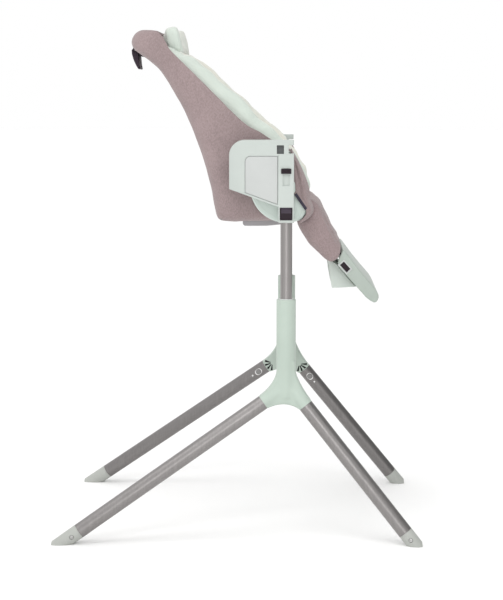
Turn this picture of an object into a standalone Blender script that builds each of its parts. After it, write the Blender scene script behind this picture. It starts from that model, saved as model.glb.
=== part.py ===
"""Reclining bouncer seat on a height-adjustable stand.

Metres, +Z up, +X to the front, +Y to the child's left. The origin is on the floor under the middle
of the feet. Every sub-part is one closed solid in its own object.
"""
import bpy
import bmesh
from math import cos, pi, radians, sin
from mathutils import Vector

# Driving dimensions ------------------------------------------------------------------------------
gap = 0.0003                     # clearance between pieces that touch
slide_fit = 0.0004               # clearance all round a piece that slides or turns

# Across the seat, from the middle plane outwards
pan_half_width = 0.164
pan_wall = 0.004
back_wing_thickness = 0.006
side_panel_thickness = 0.008
disc_thickness = 0.018
carrier_depth = 0.050
post_set_in = 0.026              # from a carrier's inner face to its post's axis
leg_splay = 0.051                # how much wider apart the feet are than the posts, each side
wing_inner = pan_half_width + 0.003
wing_outer = wing_inner + back_wing_thickness
side_inner = wing_outer + 0.004
side_outer = side_inner + side_panel_thickness
disc_inner = side_outer + 0.003
disc_outer = disc_inner + disc_thickness
carrier_inner = disc_outer + 0.006
carrier_outer = carrier_inner + carrier_depth
post_half_spacing = carrier_inner + post_set_in
foot_half_spacing = post_half_spacing + leg_splay

# Stand
stance_half = 0.372              # from the origin to a foot's tip, front and rear
post_x = 0.0985
leg_diameter = 0.030
leg_wall = 0.0015
leg_end = {"rear": Vector((0.055 - stance_half, 0, 0.0255)),
           "front": Vector((stance_half - 0.0335, 0, 0.026))}
leg_apex_z = {"rear": 0.3134, "front": 0.3254}
arm_length = {"rear": 0.056, "front": 0.064}
spigot_length = 0.045
column_diameter = 0.0392
column_top = 0.490
flare_top = 0.346
arch_top = 0.2775
post_diameter = 0.0236
post_wall = 0.0015
post_overlap = 0.055             # length of post left in the column at the highest setting
post_bottom = column_top - post_overlap
post_bore_bottom = 0.291
bush_depth = 0.020
bush_wall = 0.0026
cross_bar_z = 0.330
cross_bar_diameter = 0.025
snap_button_diameter = 0.012
snap_button_travel = 0.0025
foot_screw_diameter = 0.008

# Seat carriage
carrier_bottom = 0.645
carrier_top = 0.8085
carrier_rear = -0.015
carrier_front = 0.1135
carrier_column_width = 0.031
carrier_corner_radius = 0.030
carrier_wall = 0.004
wing_rear_bottom = 0.712
wing_front_bottom = 0.6765
rail_thickness = 0.010
rail_neck_bottom = 0.7815
cover_margin = 0.031
cover_thickness = 0.0025
slider_size = (0.020, 0.010)
slider_top = 0.7525
slider_travel = 0.024
button_size = 0.0245
button_bottom = 0.6505
button_travel = 0.0035

# Seat
disc_x = 0.0975
disc_z = 0.713
disc_radius = 0.072
hinge_pin_diameter = 0.014
pan_floor = 0.644
pan_front = 0.110
hinge_rod_diameter = 0.008
back_hinge = Vector((-0.022, 0, 0.664))
knee_hinge = Vector((0.130, 0, 0.662))

# Backrest
shell_thickness = 0.005
shell_low_half_width = pan_half_width - pan_wall - 0.005
shell_high_half_width = wing_inner - 0.0005
liner_half_width = pan_half_width - pan_wall - 0.008
bolster_width = 0.032
liner_thickness = 0.026
lever_half_width = 0.040
lever_pin = Vector((-0.2165, 0, 0.991))
lever_pin_diameter = 0.005

# Leg rest and footrest
board_thickness = 0.006
leg_rest_half_width = pan_half_width - pan_wall - 0.010
footrest_half_width = leg_rest_half_width + 0.005
bracket_half_width = footrest_half_width - 0.037
footrest_wall = 0.003

collection_name = "bouncer_seat"


# Scene, collections and materials ----------------------------------------------------------------
for leftover in list(bpy.data.objects):
    bpy.data.objects.remove(leftover, do_unlink=True)


def new_collection(name):
    collection = bpy.data.collections.new(name)
    bpy.context.scene.collection.children.link(collection)
    return collection


parts = new_collection(collection_name)
cutters = new_collection("cutters")


def make_material(name, colour, roughness, metallic=0.0):
    material = bpy.data.materials.new(name)
    material.use_nodes = True
    shader = material.node_tree.nodes["Principled BSDF"]
    shader.inputs["Base Color"].default_value = (*colour, 1.0)
    shader.inputs["Roughness"].default_value = roughness
    shader.inputs["Metallic"].default_value = metallic
    return material


finishes = {
    "mint": ((0.56, 0.67, 0.60), 0.45, 0.0),
    "pale": ((0.68, 0.70, 0.69), 0.45, 0.0),
    "foot": ((0.52, 0.53, 0.51), 0.55, 0.0),
    "aluminium": ((0.32, 0.30, 0.30), 0.35, 1.0),
    "steel": ((0.45, 0.45, 0.45), 0.35, 1.0),
    "black": ((0.035, 0.025, 0.032), 0.45, 0.0),
    "grey": ((0.28, 0.27, 0.28), 0.40, 0.0),
    "mauve": ((0.39, 0.30, 0.30), 0.90, 0.0),
    "liner": ((0.70, 0.76, 0.70), 0.90, 0.0),
    "webbing": ((0.16, 0.15, 0.20), 0.80, 0.0),
}


def add_part(obj, finish):
    """Give a finished object its own material and put it with the parts."""
    colour, roughness, metallic = finishes[finish]
    obj.data.materials.clear()
    obj.data.materials.append(make_material(obj.name, colour, roughness, metallic))
    for collection in list(obj.users_collection):
        collection.objects.unlink(obj)
    parts.objects.link(obj)
    return obj


def add_cutter(obj):
    for collection in list(obj.users_collection):
        collection.objects.unlink(obj)
    cutters.objects.link(obj)
    obj.hide_render = True
    obj.display_type = "WIRE"
    return obj


# Shapes ------------------------------------------------------------------------------------------
def mesh_object(name, mesh_builder):
    """An object whose mesh is filled by mesh_builder, which gets an empty bmesh."""
    mesh = bpy.data.meshes.new(name)
    builder = bmesh.new()
    mesh_builder(builder)
    builder.to_mesh(mesh)
    builder.free()
    obj = bpy.data.objects.new(name, mesh)
    parts.objects.link(obj)
    return obj


def box(name, low, high):
    low, high = Vector(low), Vector(high)

    def build(builder):
        bmesh.ops.create_cube(builder, size=1.0)
        bmesh.ops.scale(builder, vec=high - low, verts=builder.verts)
    obj = mesh_object(name, build)
    obj.location = (low + high) / 2
    return obj


def rod(name, start, end, diameter, sides=24):
    """A solid cylinder from start to end."""
    start, end = Vector(start), Vector(end)

    def build(builder):
        bmesh.ops.create_cone(builder, cap_ends=True, segments=sides, radius1=diameter / 2,
                              radius2=diameter / 2, depth=(end - start).length)
    obj = mesh_object(name, build)
    obj.location = (start + end) / 2
    obj.rotation_euler = (end - start).to_track_quat("Z", "Y").to_euler()
    obj.data.shade_smooth()
    obj.data.set_sharp_from_angle(angle=radians(40))
    return obj


def turned(name, start, end, profile, sides=24):
    """A turned piece: (radius, height from start) round a closed section, outside first, top down."""
    start, end = Vector(start), Vector(end)
    mesh = bpy.data.meshes.new(name)
    count = len(profile)
    mesh.from_pydata([(radius, 0, height) for radius, height in profile],
                     [(i, (i + 1) % count) for i in range(count)], [])
    obj = bpy.data.objects.new(name, mesh)
    parts.objects.link(obj)
    obj.location = start
    obj.rotation_euler = (end - start).to_track_quat("Z", "Y").to_euler()
    screw = obj.modifiers.new("turn", "SCREW")
    screw.steps = sides
    screw.render_steps = sides
    screw.use_merge_vertices = True
    screw.merge_threshold = 0.00001
    screw.use_smooth_shade = False
    return obj


def hollow_tube(name, start, end, diameter, wall, sides=24):
    length = (Vector(end) - Vector(start)).length
    outer, inner = diameter / 2, diameter / 2 - wall
    return turned(name, start, end, [(outer, length), (outer, 0), (inner, 0), (inner, length)], sides)


def plate(name, outline, low_y, high_y):
    """A flat outline of (x, z) points, extruded across from low_y to high_y, as a mesh."""
    curve = bpy.data.curves.new(name, "CURVE")
    curve.dimensions = "2D"
    curve.fill_mode = "BOTH"
    curve.extrude = (high_y - low_y) / 2
    spline = curve.splines.new("POLY")
    spline.points.add(len(outline) - 1)
    for point, (x, z) in zip(spline.points, outline):
        point.co = (x, z, 0, 1)
    spline.use_cyclic_u = True
    guide = bpy.data.objects.new(name + "_outline", curve)
    cutters.objects.link(guide)
    guide.location = (0, (low_y + high_y) / 2, 0)
    guide.rotation_euler = (pi / 2, 0, 0)
    bpy.context.view_layer.update()
    evaluated = guide.evaluated_get(bpy.context.evaluated_depsgraph_get())
    mesh = bpy.data.meshes.new_from_object(evaluated)
    mesh.name = name
    welded = bmesh.new()
    welded.from_mesh(mesh)
    bmesh.ops.remove_doubles(welded, verts=welded.verts, dist=0.000001)
    bmesh.ops.recalc_face_normals(welded, faces=welded.faces)
    welded.to_mesh(mesh)
    welded.free()
    obj = bpy.data.objects.new(name, mesh)
    parts.objects.link(obj)
    obj.matrix_world = guide.matrix_world
    bpy.data.objects.remove(guide, do_unlink=True)
    return obj


def cut(obj, *tools):
    """Take the tools away from the object."""
    return combine(obj, tools, "DIFFERENCE")


def fuse(obj, *tools):
    """Join the tools to the object."""
    return combine(obj, tools, "UNION")


def combine(obj, tools, operation):
    for tool in tools:
        add_cutter(tool)
        boolean = obj.modifiers.new(operation.lower(), "BOOLEAN")
        boolean.operation = operation
        boolean.object = tool
    return obj


def arc(centre, radius, first, last, steps=6):
    """Points along an arc, from the first to the last angle in degrees."""
    angles = [radians(first + (last - first) * i / steps) for i in range(steps + 1)]
    return [(centre[0] + radius * cos(a), centre[1] + radius * sin(a)) for a in angles]


def bend(start, control, end, steps=6):
    """Points along a quadratic curve, without its first point."""
    start, control, end = Vector(start), Vector(control), Vector(end)
    shares = [i / steps for i in range(1, steps + 1)]
    return [tuple(start * (1 - s) ** 2 + control * 2 * s * (1 - s) + end * s * s) for s in shares]


def smooth(points, steps=4):
    """A Catmull-Rom curve through the points."""
    points = [Vector(p) for p in points]
    ends = [points[0] * 2 - points[1], *points, points[-1] * 2 - points[-2]]
    result = []
    for a, b, c, d in zip(ends, ends[1:], ends[2:], ends[3:]):
        for i in range(steps):
            t = i / steps
            result.append(tuple(0.5 * (2 * b + (c - a) * t + (2 * a - 5 * b + 4 * c - d) * t ** 2
                                       + (3 * b - a - 3 * c + d) * t ** 3)))
    result.append(tuple(points[-1]))
    return result


def offset(points, distance):
    """The path moved sideways, to its left for a positive distance."""
    moved = []
    for i, point in enumerate(points):
        before = Vector(points[max(i - 1, 0)])
        after = Vector(points[min(i + 1, len(points) - 1)])
        along = (after - before).normalized()
        moved.append((point[0] - along.y * distance, point[1] + along.x * distance))
    return moved


def ribbon(path, thickness):
    """A closed outline: the path and the same path moved to its left."""
    return list(path) + offset(path, thickness)[::-1]


def at(point, y):
    return Vector((point[0], y, point[-1]))


def side_span(side, first, second):
    """Low and high Y of a piece that lies between two distances from the middle plane."""
    return sorted((side * first, side * second))


SIDES = {"right": -1, "left": 1}


# Stand -------------------------------------------------------------------------------------------
leg_radius = leg_diameter / 2
spigot_radius = leg_radius - leg_wall - slide_fit


def leg_line(end, side):
    """Apex, direction, hub end and foot end of one leg."""
    apex = Vector((post_x, side * post_half_spacing, leg_apex_z[end]))
    foot = at(leg_end[end], side * foot_half_spacing)
    direction = (foot - apex).normalized()
    return apex, direction, apex + direction * arm_length[end], foot


def arm_corner(end, upper):
    """The (x, z) corner of a hub arm's end, on its upper or lower edge."""
    apex, direction, hub_end, foot = leg_line(end, 1)
    flat = Vector((direction.x, direction.z)).normalized()
    normal = Vector((-flat.y, flat.x))
    if (normal.y > 0) != upper:
        normal = -normal
    corner = Vector((hub_end.x, hub_end.z)) + (normal * leg_radius - flat * 0.001) * 0.99
    return tuple(corner)


def snap_button_place(end, side):
    """The centre of a snap button on its leg's axis, and the direction that it points in."""
    apex, direction, hub_end, foot = leg_line(end, side)
    inward = Vector((0, -side, 0))
    inward = (inward - direction * inward.dot(direction)).normalized()
    return hub_end + direction * spigot_length * 0.45, inward


def make_hub(name, side):
    y = side * post_half_spacing
    half_web = leg_radius - 0.002
    column_radius = column_diameter / 2
    rear_top, rear_low = arm_corner("rear", True), arm_corner("rear", False)
    front_top, front_low = arm_corner("front", True), arm_corner("front", False)
    left_edge, right_edge = post_x - column_radius + 0.001, post_x + column_radius - 0.001
    outline = [(right_edge, flare_top + 0.020), (left_edge, flare_top + 0.020), (left_edge, flare_top)]
    outline += bend((left_edge, flare_top), (left_edge - 0.004, rear_top[1] + 0.024), rear_top)
    outline += [rear_low]
    outline += bend(rear_low, (post_x, 2 * arch_top - (rear_low[1] + front_low[1]) / 2), front_low, 8)
    outline += [front_top]
    outline += bend(front_top, (right_edge + 0.006, front_top[1] + 0.036), (right_edge, flare_top))
    hub = plate(name, outline, y - half_web, y + half_web)
    pieces = [rod(name + "_column", (post_x, y, arch_top + 0.012), (post_x, y, column_top),
                  column_diameter, 32)]
    for end in leg_end:
        apex, direction, hub_end, foot = leg_line(end, side)
        pieces.append(rod(f"{name}_arm_{end}", apex, hub_end, leg_diameter))
        pieces.append(rod(f"{name}_spigot_{end}", hub_end - direction * 0.005,
                          hub_end + direction * spigot_length, spigot_radius * 2))
    boss_outer = post_half_spacing - column_radius + 0.004
    boss_inner = post_half_spacing - column_radius - 0.014
    pieces.append(rod(name + "_boss", (post_x, side * boss_outer, cross_bar_z),
                      (post_x, side * boss_inner, cross_bar_z), cross_bar_diameter + 0.007))
    fuse(hub, *pieces)
    bores = [rod(name + "_bore", (post_x, y, post_bore_bottom), (post_x, y, column_top + 0.01),
                 post_diameter + 2 * slide_fit),
             rod(name + "_bush_seat", (post_x, y, column_top - bush_depth), (post_x, y, column_top + 0.01),
                 post_diameter + 2 * (slide_fit + bush_wall + gap)),
             rod(name + "_bar_seat", (post_x, side * (boss_inner - 0.002), cross_bar_z),
                 (post_x, side * (boss_inner + 0.012), cross_bar_z), cross_bar_diameter + 2 * gap)]
    for end in leg_end:
        centre, inward = snap_button_place(end, side)
        bores.append(rod(f"{name}_button_seat_{end}", centre - inward * 0.001,
                         centre + inward * (leg_radius + 0.002), snap_button_diameter + 2 * slide_fit, 16))
    cut(hub, *bores)
    return add_part(hub, "mint")


def make_leg(name, end, side):
    apex, direction, hub_end, foot = leg_line(end, side)
    tube = hollow_tube(name, hub_end + direction * gap, foot, leg_diameter, leg_wall)
    centre, inward = snap_button_place(end, side)
    cut(tube, rod(name + "_button_hole", centre, centre + inward * (leg_radius + 0.004),
                  snap_button_diameter + 2 * slide_fit, 16))
    return add_part(tube, "aluminium")


def make_snap_button(name, end, side):
    centre, inward = snap_button_place(end, side)
    button = rod(name, centre + inward * (snap_button_travel + 0.001),
                 centre + inward * (leg_radius + 0.0015), snap_button_diameter, 16)
    return add_part(button, "pale")


def make_foot(name, end, side):
    apex, direction, hub_end, foot_end = leg_line(end, side)
    foot = rod(name, foot_end + direction * gap, foot_end + direction * 0.100, leg_diameter)
    reach = 1 if end == "front" else -1
    fuse(foot, rod(name + "_spigot", foot_end - direction * 0.025, foot_end + direction * 0.004,
                   spigot_radius * 2))
    middle = side * foot_half_spacing
    below = box(name + "_floor", (-1, middle - 0.1, -0.3), (1, middle + 0.1, 0))
    tip = sorted((reach * stance_half, reach * (stance_half + 0.3)))
    beyond = box(name + "_tip", (tip[0], middle - 0.1, -0.3), (tip[1], middle + 0.1, 0.3))
    start, stop = foot_screw_place(end, side)
    hole = rod(name + "_screw_hole", start, stop + (stop - start), foot_screw_diameter + 2 * gap, 16)
    cut(foot, below, beyond, hole)
    return add_part(foot, "foot")


def foot_screw_place(end, side):
    """The inner and outer end of a foot screw, across the foot."""
    apex, direction, hub_end, foot_end = leg_line(end, side)
    middle = foot_end + direction * 0.018
    outward = Vector((0, side, 0))
    outward = (outward - direction * outward.dot(direction)).normalized()
    return middle + outward * (leg_radius - 0.010), middle + outward * leg_radius


def make_foot_screw(name, end, side):
    start, stop = foot_screw_place(end, side)
    depth = (stop - start).normalized() * gap
    return add_part(rod(name, start + depth, stop, foot_screw_diameter, 16), "steel")


for side_name, side in SIDES.items():
    make_hub(f"hub_{side_name}", side)
    for end in leg_end:
        make_leg(f"leg_tube_{end}_{side_name}", end, side)
        make_snap_button(f"leg_snap_button_{end}_{side_name}", end, side)
        make_foot(f"foot_cap_{end}_{side_name}", end, side)
        make_foot_screw(f"foot_screw_{end}_{side_name}", end, side)
    y = side * post_half_spacing
    bore_radius = post_diameter / 2 + slide_fit
    bush_height = bush_depth - gap + 0.0015
    bush_radius = bore_radius + bush_wall
    bush = turned(f"post_bush_{side_name}", (post_x, y, column_top - bush_depth + gap),
                  (post_x, y, column_top), [(bush_radius, bush_height), (bush_radius, 0), (bore_radius, 0),
                                            (bore_radius, bush_height)])
    add_part(bush, "pale")

bar_half = post_half_spacing - column_diameter / 2 - 0.0025
add_part(hollow_tube("cross_bar", (post_x, -bar_half, cross_bar_z), (post_x, bar_half, cross_bar_z),
                     cross_bar_diameter, 0.002), "aluminium")


# Seat carriage -----------------------------------------------------------------------------------
column_rear = carrier_front - carrier_column_width
pin_bore_end = post_half_spacing - post_diameter / 2 - slide_fit - 0.0032
cover_face = carrier_outer - cover_thickness + 0.001


def wing_edge_z(x):
    """Height of the wing's slanted lower edge at x."""
    share = (x - carrier_rear) / (column_rear - carrier_rear)
    return wing_rear_bottom + (wing_front_bottom - wing_rear_bottom) * share


def cover_outline(inset):
    rear, front = carrier_rear + cover_margin + inset, column_rear - 0.001 - inset
    top = carrier_top - cover_margin - inset
    lower = 0.004 + inset
    radius = 0.011 - inset
    corner = arc((rear + radius, top - radius), radius, 180, 90, 4)
    return [(rear, wing_edge_z(rear) + lower), *corner, (front, top), (front, wing_edge_z(front) + lower)]


def make_carrier(name, side):
    low_y, high_y = side_span(side, carrier_inner, carrier_outer)
    radius = carrier_corner_radius
    notch_rear = carrier_front - 0.0105
    rail_bottom = carrier_top - rail_thickness
    outline = [(carrier_rear, wing_rear_bottom)]
    outline += arc((carrier_rear + radius, carrier_top - radius), radius, 180, 90)
    outline += [(carrier_front, carrier_top), (carrier_front, rail_bottom), (notch_rear, rail_bottom),
                (notch_rear, rail_neck_bottom), (carrier_front, rail_neck_bottom),
                (carrier_front, carrier_bottom), (column_rear, carrier_bottom),
                (column_rear, wing_front_bottom)]
    carrier = plate(name, outline, low_y, high_y)
    y = side * post_half_spacing
    wall = carrier_wall
    rear, front = carrier_rear + wall, column_rear - wall
    ledge = 0.006
    pocket = [(rear, wing_edge_z(rear) + wall), (rear, carrier_top - radius),
              (carrier_rear + radius, carrier_top - wall), (front - ledge, carrier_top - wall),
              (front - ledge, rail_neck_bottom - ledge), (front, rail_neck_bottom - 2 * ledge),
              (front, wing_edge_z(front) + wall)]
    pocket_y = side_span(side, carrier_inner - 0.005, carrier_outer - cover_thickness - wall)
    recess_y = side_span(side, carrier_outer - cover_thickness, carrier_outer + 0.005)
    slot_centre = (carrier_front + column_rear) / 2
    slot_y = side_span(side, carrier_outer - 0.003, carrier_outer + 0.005)
    slot_half = slider_size[0] / 2 - 0.0035
    button_y = side_span(side, carrier_outer - 0.0085, carrier_outer + 0.005)
    button_half = button_size / 2 + slide_fit
    rail_pocket_y = side_span(side, carrier_outer - 0.010, carrier_outer + 0.005)
    pin_top = pin_bore_end + gap
    cut(carrier,
        plate(name + "_pocket", pocket, *pocket_y),
        plate(name + "_cover_seat", cover_outline(0), *recess_y),
        rod(name + "_post_bore", (post_x, y, carrier_bottom - 0.01), (post_x, y, slider_top - 0.012),
            post_diameter + 2 * gap),
        box(name + "_slot",
            (slot_centre - slot_half - slide_fit, slot_y[0], slider_top - slider_size[1] - slider_travel),
            (slot_centre + slot_half + slide_fit, slot_y[1], slider_top + slide_fit)),
        box(name + "_button_seat", (slot_centre - button_half, button_y[0], button_bottom - slide_fit),
            (slot_centre + button_half, button_y[1], button_bottom + button_size + slide_fit)),
        box(name + "_rail_pocket", (column_rear - 0.003, rail_pocket_y[0], rail_neck_bottom),
            (notch_rear - 0.0095, rail_pocket_y[1], rail_bottom)),
        rod(name + "_pin_bore", (disc_x, side * (carrier_inner - 0.005), disc_z),
            (disc_x, side * pin_top, disc_z), hinge_pin_diameter + 2 * gap))
    return add_part(carrier, "mint")


def make_slider(name, side):
    centre = (carrier_front + column_rear) / 2
    half = slider_size[0] / 2
    stem_y = side_span(side, carrier_outer - 0.003 + gap, carrier_outer + 0.002)
    head_y = side_span(side, carrier_outer + gap, carrier_outer + 0.004)
    low, high = slider_top - slider_size[1], slider_top
    slider = box(name, (centre - half, head_y[0], low), (centre + half, head_y[1], high))
    fuse(slider, box(name + "_stem", (centre - half + 0.0035, stem_y[0], low + slide_fit),
                     (centre + half - 0.0035, stem_y[1], high - slide_fit)))
    return add_part(slider, "black")


def make_height_button(name, side):
    centre = (carrier_front + column_rear) / 2
    low_y, high_y = side_span(side, carrier_outer - 0.0085 + button_travel + gap, carrier_outer + 0.0015)
    button = box(name, (centre - button_size / 2, low_y, button_bottom),
                 (centre + button_size / 2, high_y, button_bottom + button_size))
    return add_part(button, "black")


for side_name, side in SIDES.items():
    y = side * post_half_spacing
    make_carrier(f"carrier_{side_name}", side)
    cover_y = side_span(side, carrier_outer - cover_thickness + gap, carrier_outer + 0.001)
    add_part(plate(f"carrier_cover_{side_name}", cover_outline(0.0005), *cover_y), "pale")
    add_part(hollow_tube(f"inner_post_{side_name}", (post_x, y, post_bottom),
                         (post_x, y, slider_top - 0.014), post_diameter, post_wall), "aluminium")
    add_part(rod(f"hinge_pin_{side_name}", (disc_x, side * (side_inner + 0.002), disc_z),
                 (disc_x, side * pin_bore_end, disc_z), hinge_pin_diameter), "steel")
    make_slider(f"tilt_slider_{side_name}", side)
    make_height_button(f"height_button_{side_name}", side)


# Seat --------------------------------------------------------------------------------------------
boss_radius = 0.020
pin_bore = hinge_pin_diameter + 2 * slide_fit


def make_disc(name, side):
    """A round hinge plate whose front is drawn in behind the front edge of the seat."""
    disc_front = smooth([(0.1290, 0.6470), (0.1375, 0.6600), (0.1403, 0.6780), (0.1395, 0.6980),
                         (0.1355, 0.7220), (0.1285, 0.7460), (0.1180, 0.7680)], 2)
    disc = plate(name, arc((disc_x, disc_z), disc_radius, 80, 282, 28) + disc_front,
                 *side_span(side, disc_inner, disc_outer))
    fuse(disc,
         rod(name + "_boss_in", (disc_x, side * (pan_half_width + gap), disc_z),
             (disc_x, side * (disc_inner + 0.004), disc_z), 2 * boss_radius),
         rod(name + "_boss_out", (disc_x, side * (disc_outer - 0.004), disc_z),
             (disc_x, side * (carrier_inner - 0.0006), disc_z), 2 * boss_radius))
    cut(disc, rod(name + "_bore", (disc_x, side * (side_inner - 0.002), disc_z),
                  (disc_x, side * (carrier_inner + 0.01), disc_z), pin_bore))
    return add_part(disc, "mint")


def rod_hole(name, place, half_width, diameter=hinge_rod_diameter):
    return rod(name, at(place, -half_width), at(place, half_width), diameter + 2 * slide_fit, 16)


def make_seat_pan():
    rear = back_hinge.x - 0.014
    floor = [(rear, pan_floor), (pan_front - 0.010, pan_floor), (pan_front, pan_floor + 0.010),
             (pan_front, knee_hinge.z + 0.016)]
    pan = plate("seat_pan", ribbon(floor, pan_wall), -pan_half_width, pan_half_width)
    wall = [(rear, pan_floor), (pan_front + 0.006, pan_floor), (knee_hinge.x + 0.010, knee_hinge.z - 0.008),
            (knee_hinge.x + 0.010, knee_hinge.z + 0.010), (disc_x + 0.030, disc_z + 0.030),
            (disc_x - 0.030, disc_z + 0.030), (back_hinge.x + 0.016, disc_z - 0.010),
            (rear, back_hinge.z + 0.012)]
    for side_name, side in SIDES.items():
        span = side_span(side, pan_half_width - pan_wall, pan_half_width)
        fuse(pan, plate(f"seat_pan_wall_{side_name}", wall, *span))
    cut(pan, rod_hole("seat_pan_back_hole", back_hinge, 2 * pan_half_width),
        rod_hole("seat_pan_knee_hole", knee_hinge, 2 * pan_half_width))
    return add_part(pan, "grey")


def make_side_panel(name, side):
    low_y, high_y = side_span(side, side_inner, side_outer)
    rear_line = smooth([(-0.030, 0.655), (-0.044, 0.700), (-0.046, 0.735), (-0.030, 0.790),
                        (-0.002, 0.851)])
    outline = [(-0.024, 0.6475), *rear_line, (0.025, 0.832), (0.066, 0.8065), (0.107, 0.790),
               (0.146, 0.712), (0.143, 0.690), (0.118, 0.6475)]
    panel = plate(name, outline, low_y, high_y)
    cut(panel, rod(name + "_hole", (disc_x, side * (side_inner - 0.01), disc_z),
                   (disc_x, side * (side_outer + 0.01), disc_z), 2 * (boss_radius + gap)))
    return add_part(panel, "mauve")


for side_name, side in SIDES.items():
    make_disc(f"hinge_disc_{side_name}", side)
    make_side_panel(f"side_panel_{side_name}", side)

make_seat_pan()
rod_half = pan_half_width + 0.0005
for rod_name, place in (("back_hinge_rod", back_hinge), ("knee_hinge_rod", knee_hinge)):
    add_part(rod(rod_name, at(place, -rod_half), at(place, rod_half), hinge_rod_diameter, 16), "steel")

under_outline = [(0.018, 0.6275), (0.060, 0.6285), (0.092, 0.6315), (0.092, pan_floor - gap),
                 (0.008, pan_floor - gap), *arc((0.014, 0.6345), 0.006, 150, 250, 3)]
add_part(plate("under_plate", under_outline, -0.120, 0.120), "grey")

cushion_top = smooth([(pan_front + 0.010, 0.692), (0.090, 0.702), (0.040, 0.694), (0.002, 0.692)])
cushion_outline = [(0.004, pan_floor + pan_wall + gap), (pan_front - 0.016, pan_floor + pan_wall + gap),
                   (pan_front - pan_wall - 0.002, pan_floor + 0.018),
                   (pan_front - pan_wall - 0.002, knee_hinge.z + 0.016 + gap),
                   (pan_front + 0.004, knee_hinge.z + 0.016 + gap), *cushion_top]
seat_pad = plate("seat_pad", cushion_outline, -liner_half_width, liner_half_width)
strap_place = Vector((0.082, 0, 0.69))
strap_half = 0.0125
strap_top = 0.738
cut(seat_pad, box("seat_pad_slot", (strap_place.x - 0.0025, -strap_half - 0.001, 0.665),
                  (strap_place.x + 0.0025, strap_half + 0.001, 0.75)))
add_part(seat_pad, "liner")
crotch_strap = box("crotch_strap", (strap_place.x - 0.001, -strap_half, 0.668),
                   (strap_place.x + 0.001, strap_half, strap_top))
add_part(crotch_strap, "webbing")
buckle_outline = [(strap_place.x + out, strap_top + up)
                  for out, up in ((-0.006, 0.001), (0.006, 0.001), (0.007, 0.032), (0.003, 0.044),
                                  (-0.003, 0.044), (-0.007, 0.032))]
add_part(plate("buckle", buckle_outline, -0.020, 0.020), "black")


# Backrest ----------------------------------------------------------------------------------------
barrel_radius = hinge_rod_diameter / 2 + 0.0045
shell_back = smooth([(-0.027, 0.662), (-0.041, 0.700), (-0.056, 0.745), (-0.070, 0.787), (-0.093, 0.847),
                     (-0.114, 0.887), (-0.128, 0.913), (-0.149, 0.945), (-0.170, 0.966), (-0.187, 0.983),
                     (-0.1915, 1.001)])
shell_front = offset(shell_back, -shell_thickness)
split = 10
shell = plate("back_shell", ribbon(shell_back[:split + 2], -shell_thickness), -shell_low_half_width,
              shell_low_half_width)
fuse(shell,
     plate("back_shell_high", ribbon(shell_back[split:], -shell_thickness), -shell_high_half_width,
           shell_high_half_width),
     rod("back_shell_barrel", at(back_hinge, -shell_low_half_width), at(back_hinge, shell_low_half_width),
         2 * barrel_radius, 16))
cut(shell, rod_hole("back_shell_bore", back_hinge, 2 * pan_half_width))
add_part(shell, "grey")

wing_front_edge = [(-0.150, 1.013), (-0.136, 0.987), (-0.096, 0.947), (-0.036, 0.887), (0.004, 0.849),
                   (0.018, 0.837)]
for side_name, side in SIDES.items():
    low_y, high_y = side_span(side, wing_inner, wing_outer)
    wing_rear = smooth([(-0.046, 0.700), (-0.063, 0.745), (-0.077, 0.787), (-0.100, 0.847), (-0.121, 0.887),
                        (-0.135, 0.913), (-0.155, 0.945), (-0.175, 0.963), (-0.195, 0.977)], 2)
    wing_top = [(-0.209, 0.994), (-0.212, 1.006), (-0.205, 1.020), (-0.191, 1.027), (-0.163, 1.025)]
    wing = plate(f"back_wing_{side_name}", wing_rear + wing_top + wing_front_edge + [(-0.020, 0.745)],
                 low_y, high_y)
    add_part(wing, "mauve")

liner_back_line = offset(shell_front[8:29], -gap)
liner = plate("liner_back", ribbon(liner_back_line, -liner_thickness), -liner_half_width + 0.002,
              liner_half_width - 0.002)
bolster_front = smooth([(-0.100, 0.972), (-0.077, 0.955), (-0.037, 0.919), (0.004, 0.885), (0.024, 0.866)])
bolster_outline = liner_back_line[::-1] + [(-0.010, 0.770), (0.020, 0.830)] + bolster_front[::-1]
for side_name, side in SIDES.items():
    span = side_span(side, liner_half_width - bolster_width, liner_half_width)
    fuse(liner, plate(f"liner_bolster_{side_name}", bolster_outline, *span))
add_part(liner, "liner")

head_line = smooth([(-0.160, 0.990), (-0.152, 1.018), (-0.137, 1.036), (-0.124, 1.028), (-0.112, 1.002),
                    (-0.104, 0.986)])
head_outline = [(-0.152, 0.9745), *head_line, (-0.104, 0.9745)]
add_part(plate("head_pad", head_outline, -0.135, 0.135), "liner")

strap_line = offset(liner_back_line, -liner_thickness - gap)[10:21]
for side_name, side in SIDES.items():
    low_y, high_y = side_span(side, 0.045, 0.070)
    add_part(plate(f"shoulder_strap_{side_name}", ribbon(strap_line, -0.002), low_y, high_y), "webbing")

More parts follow.
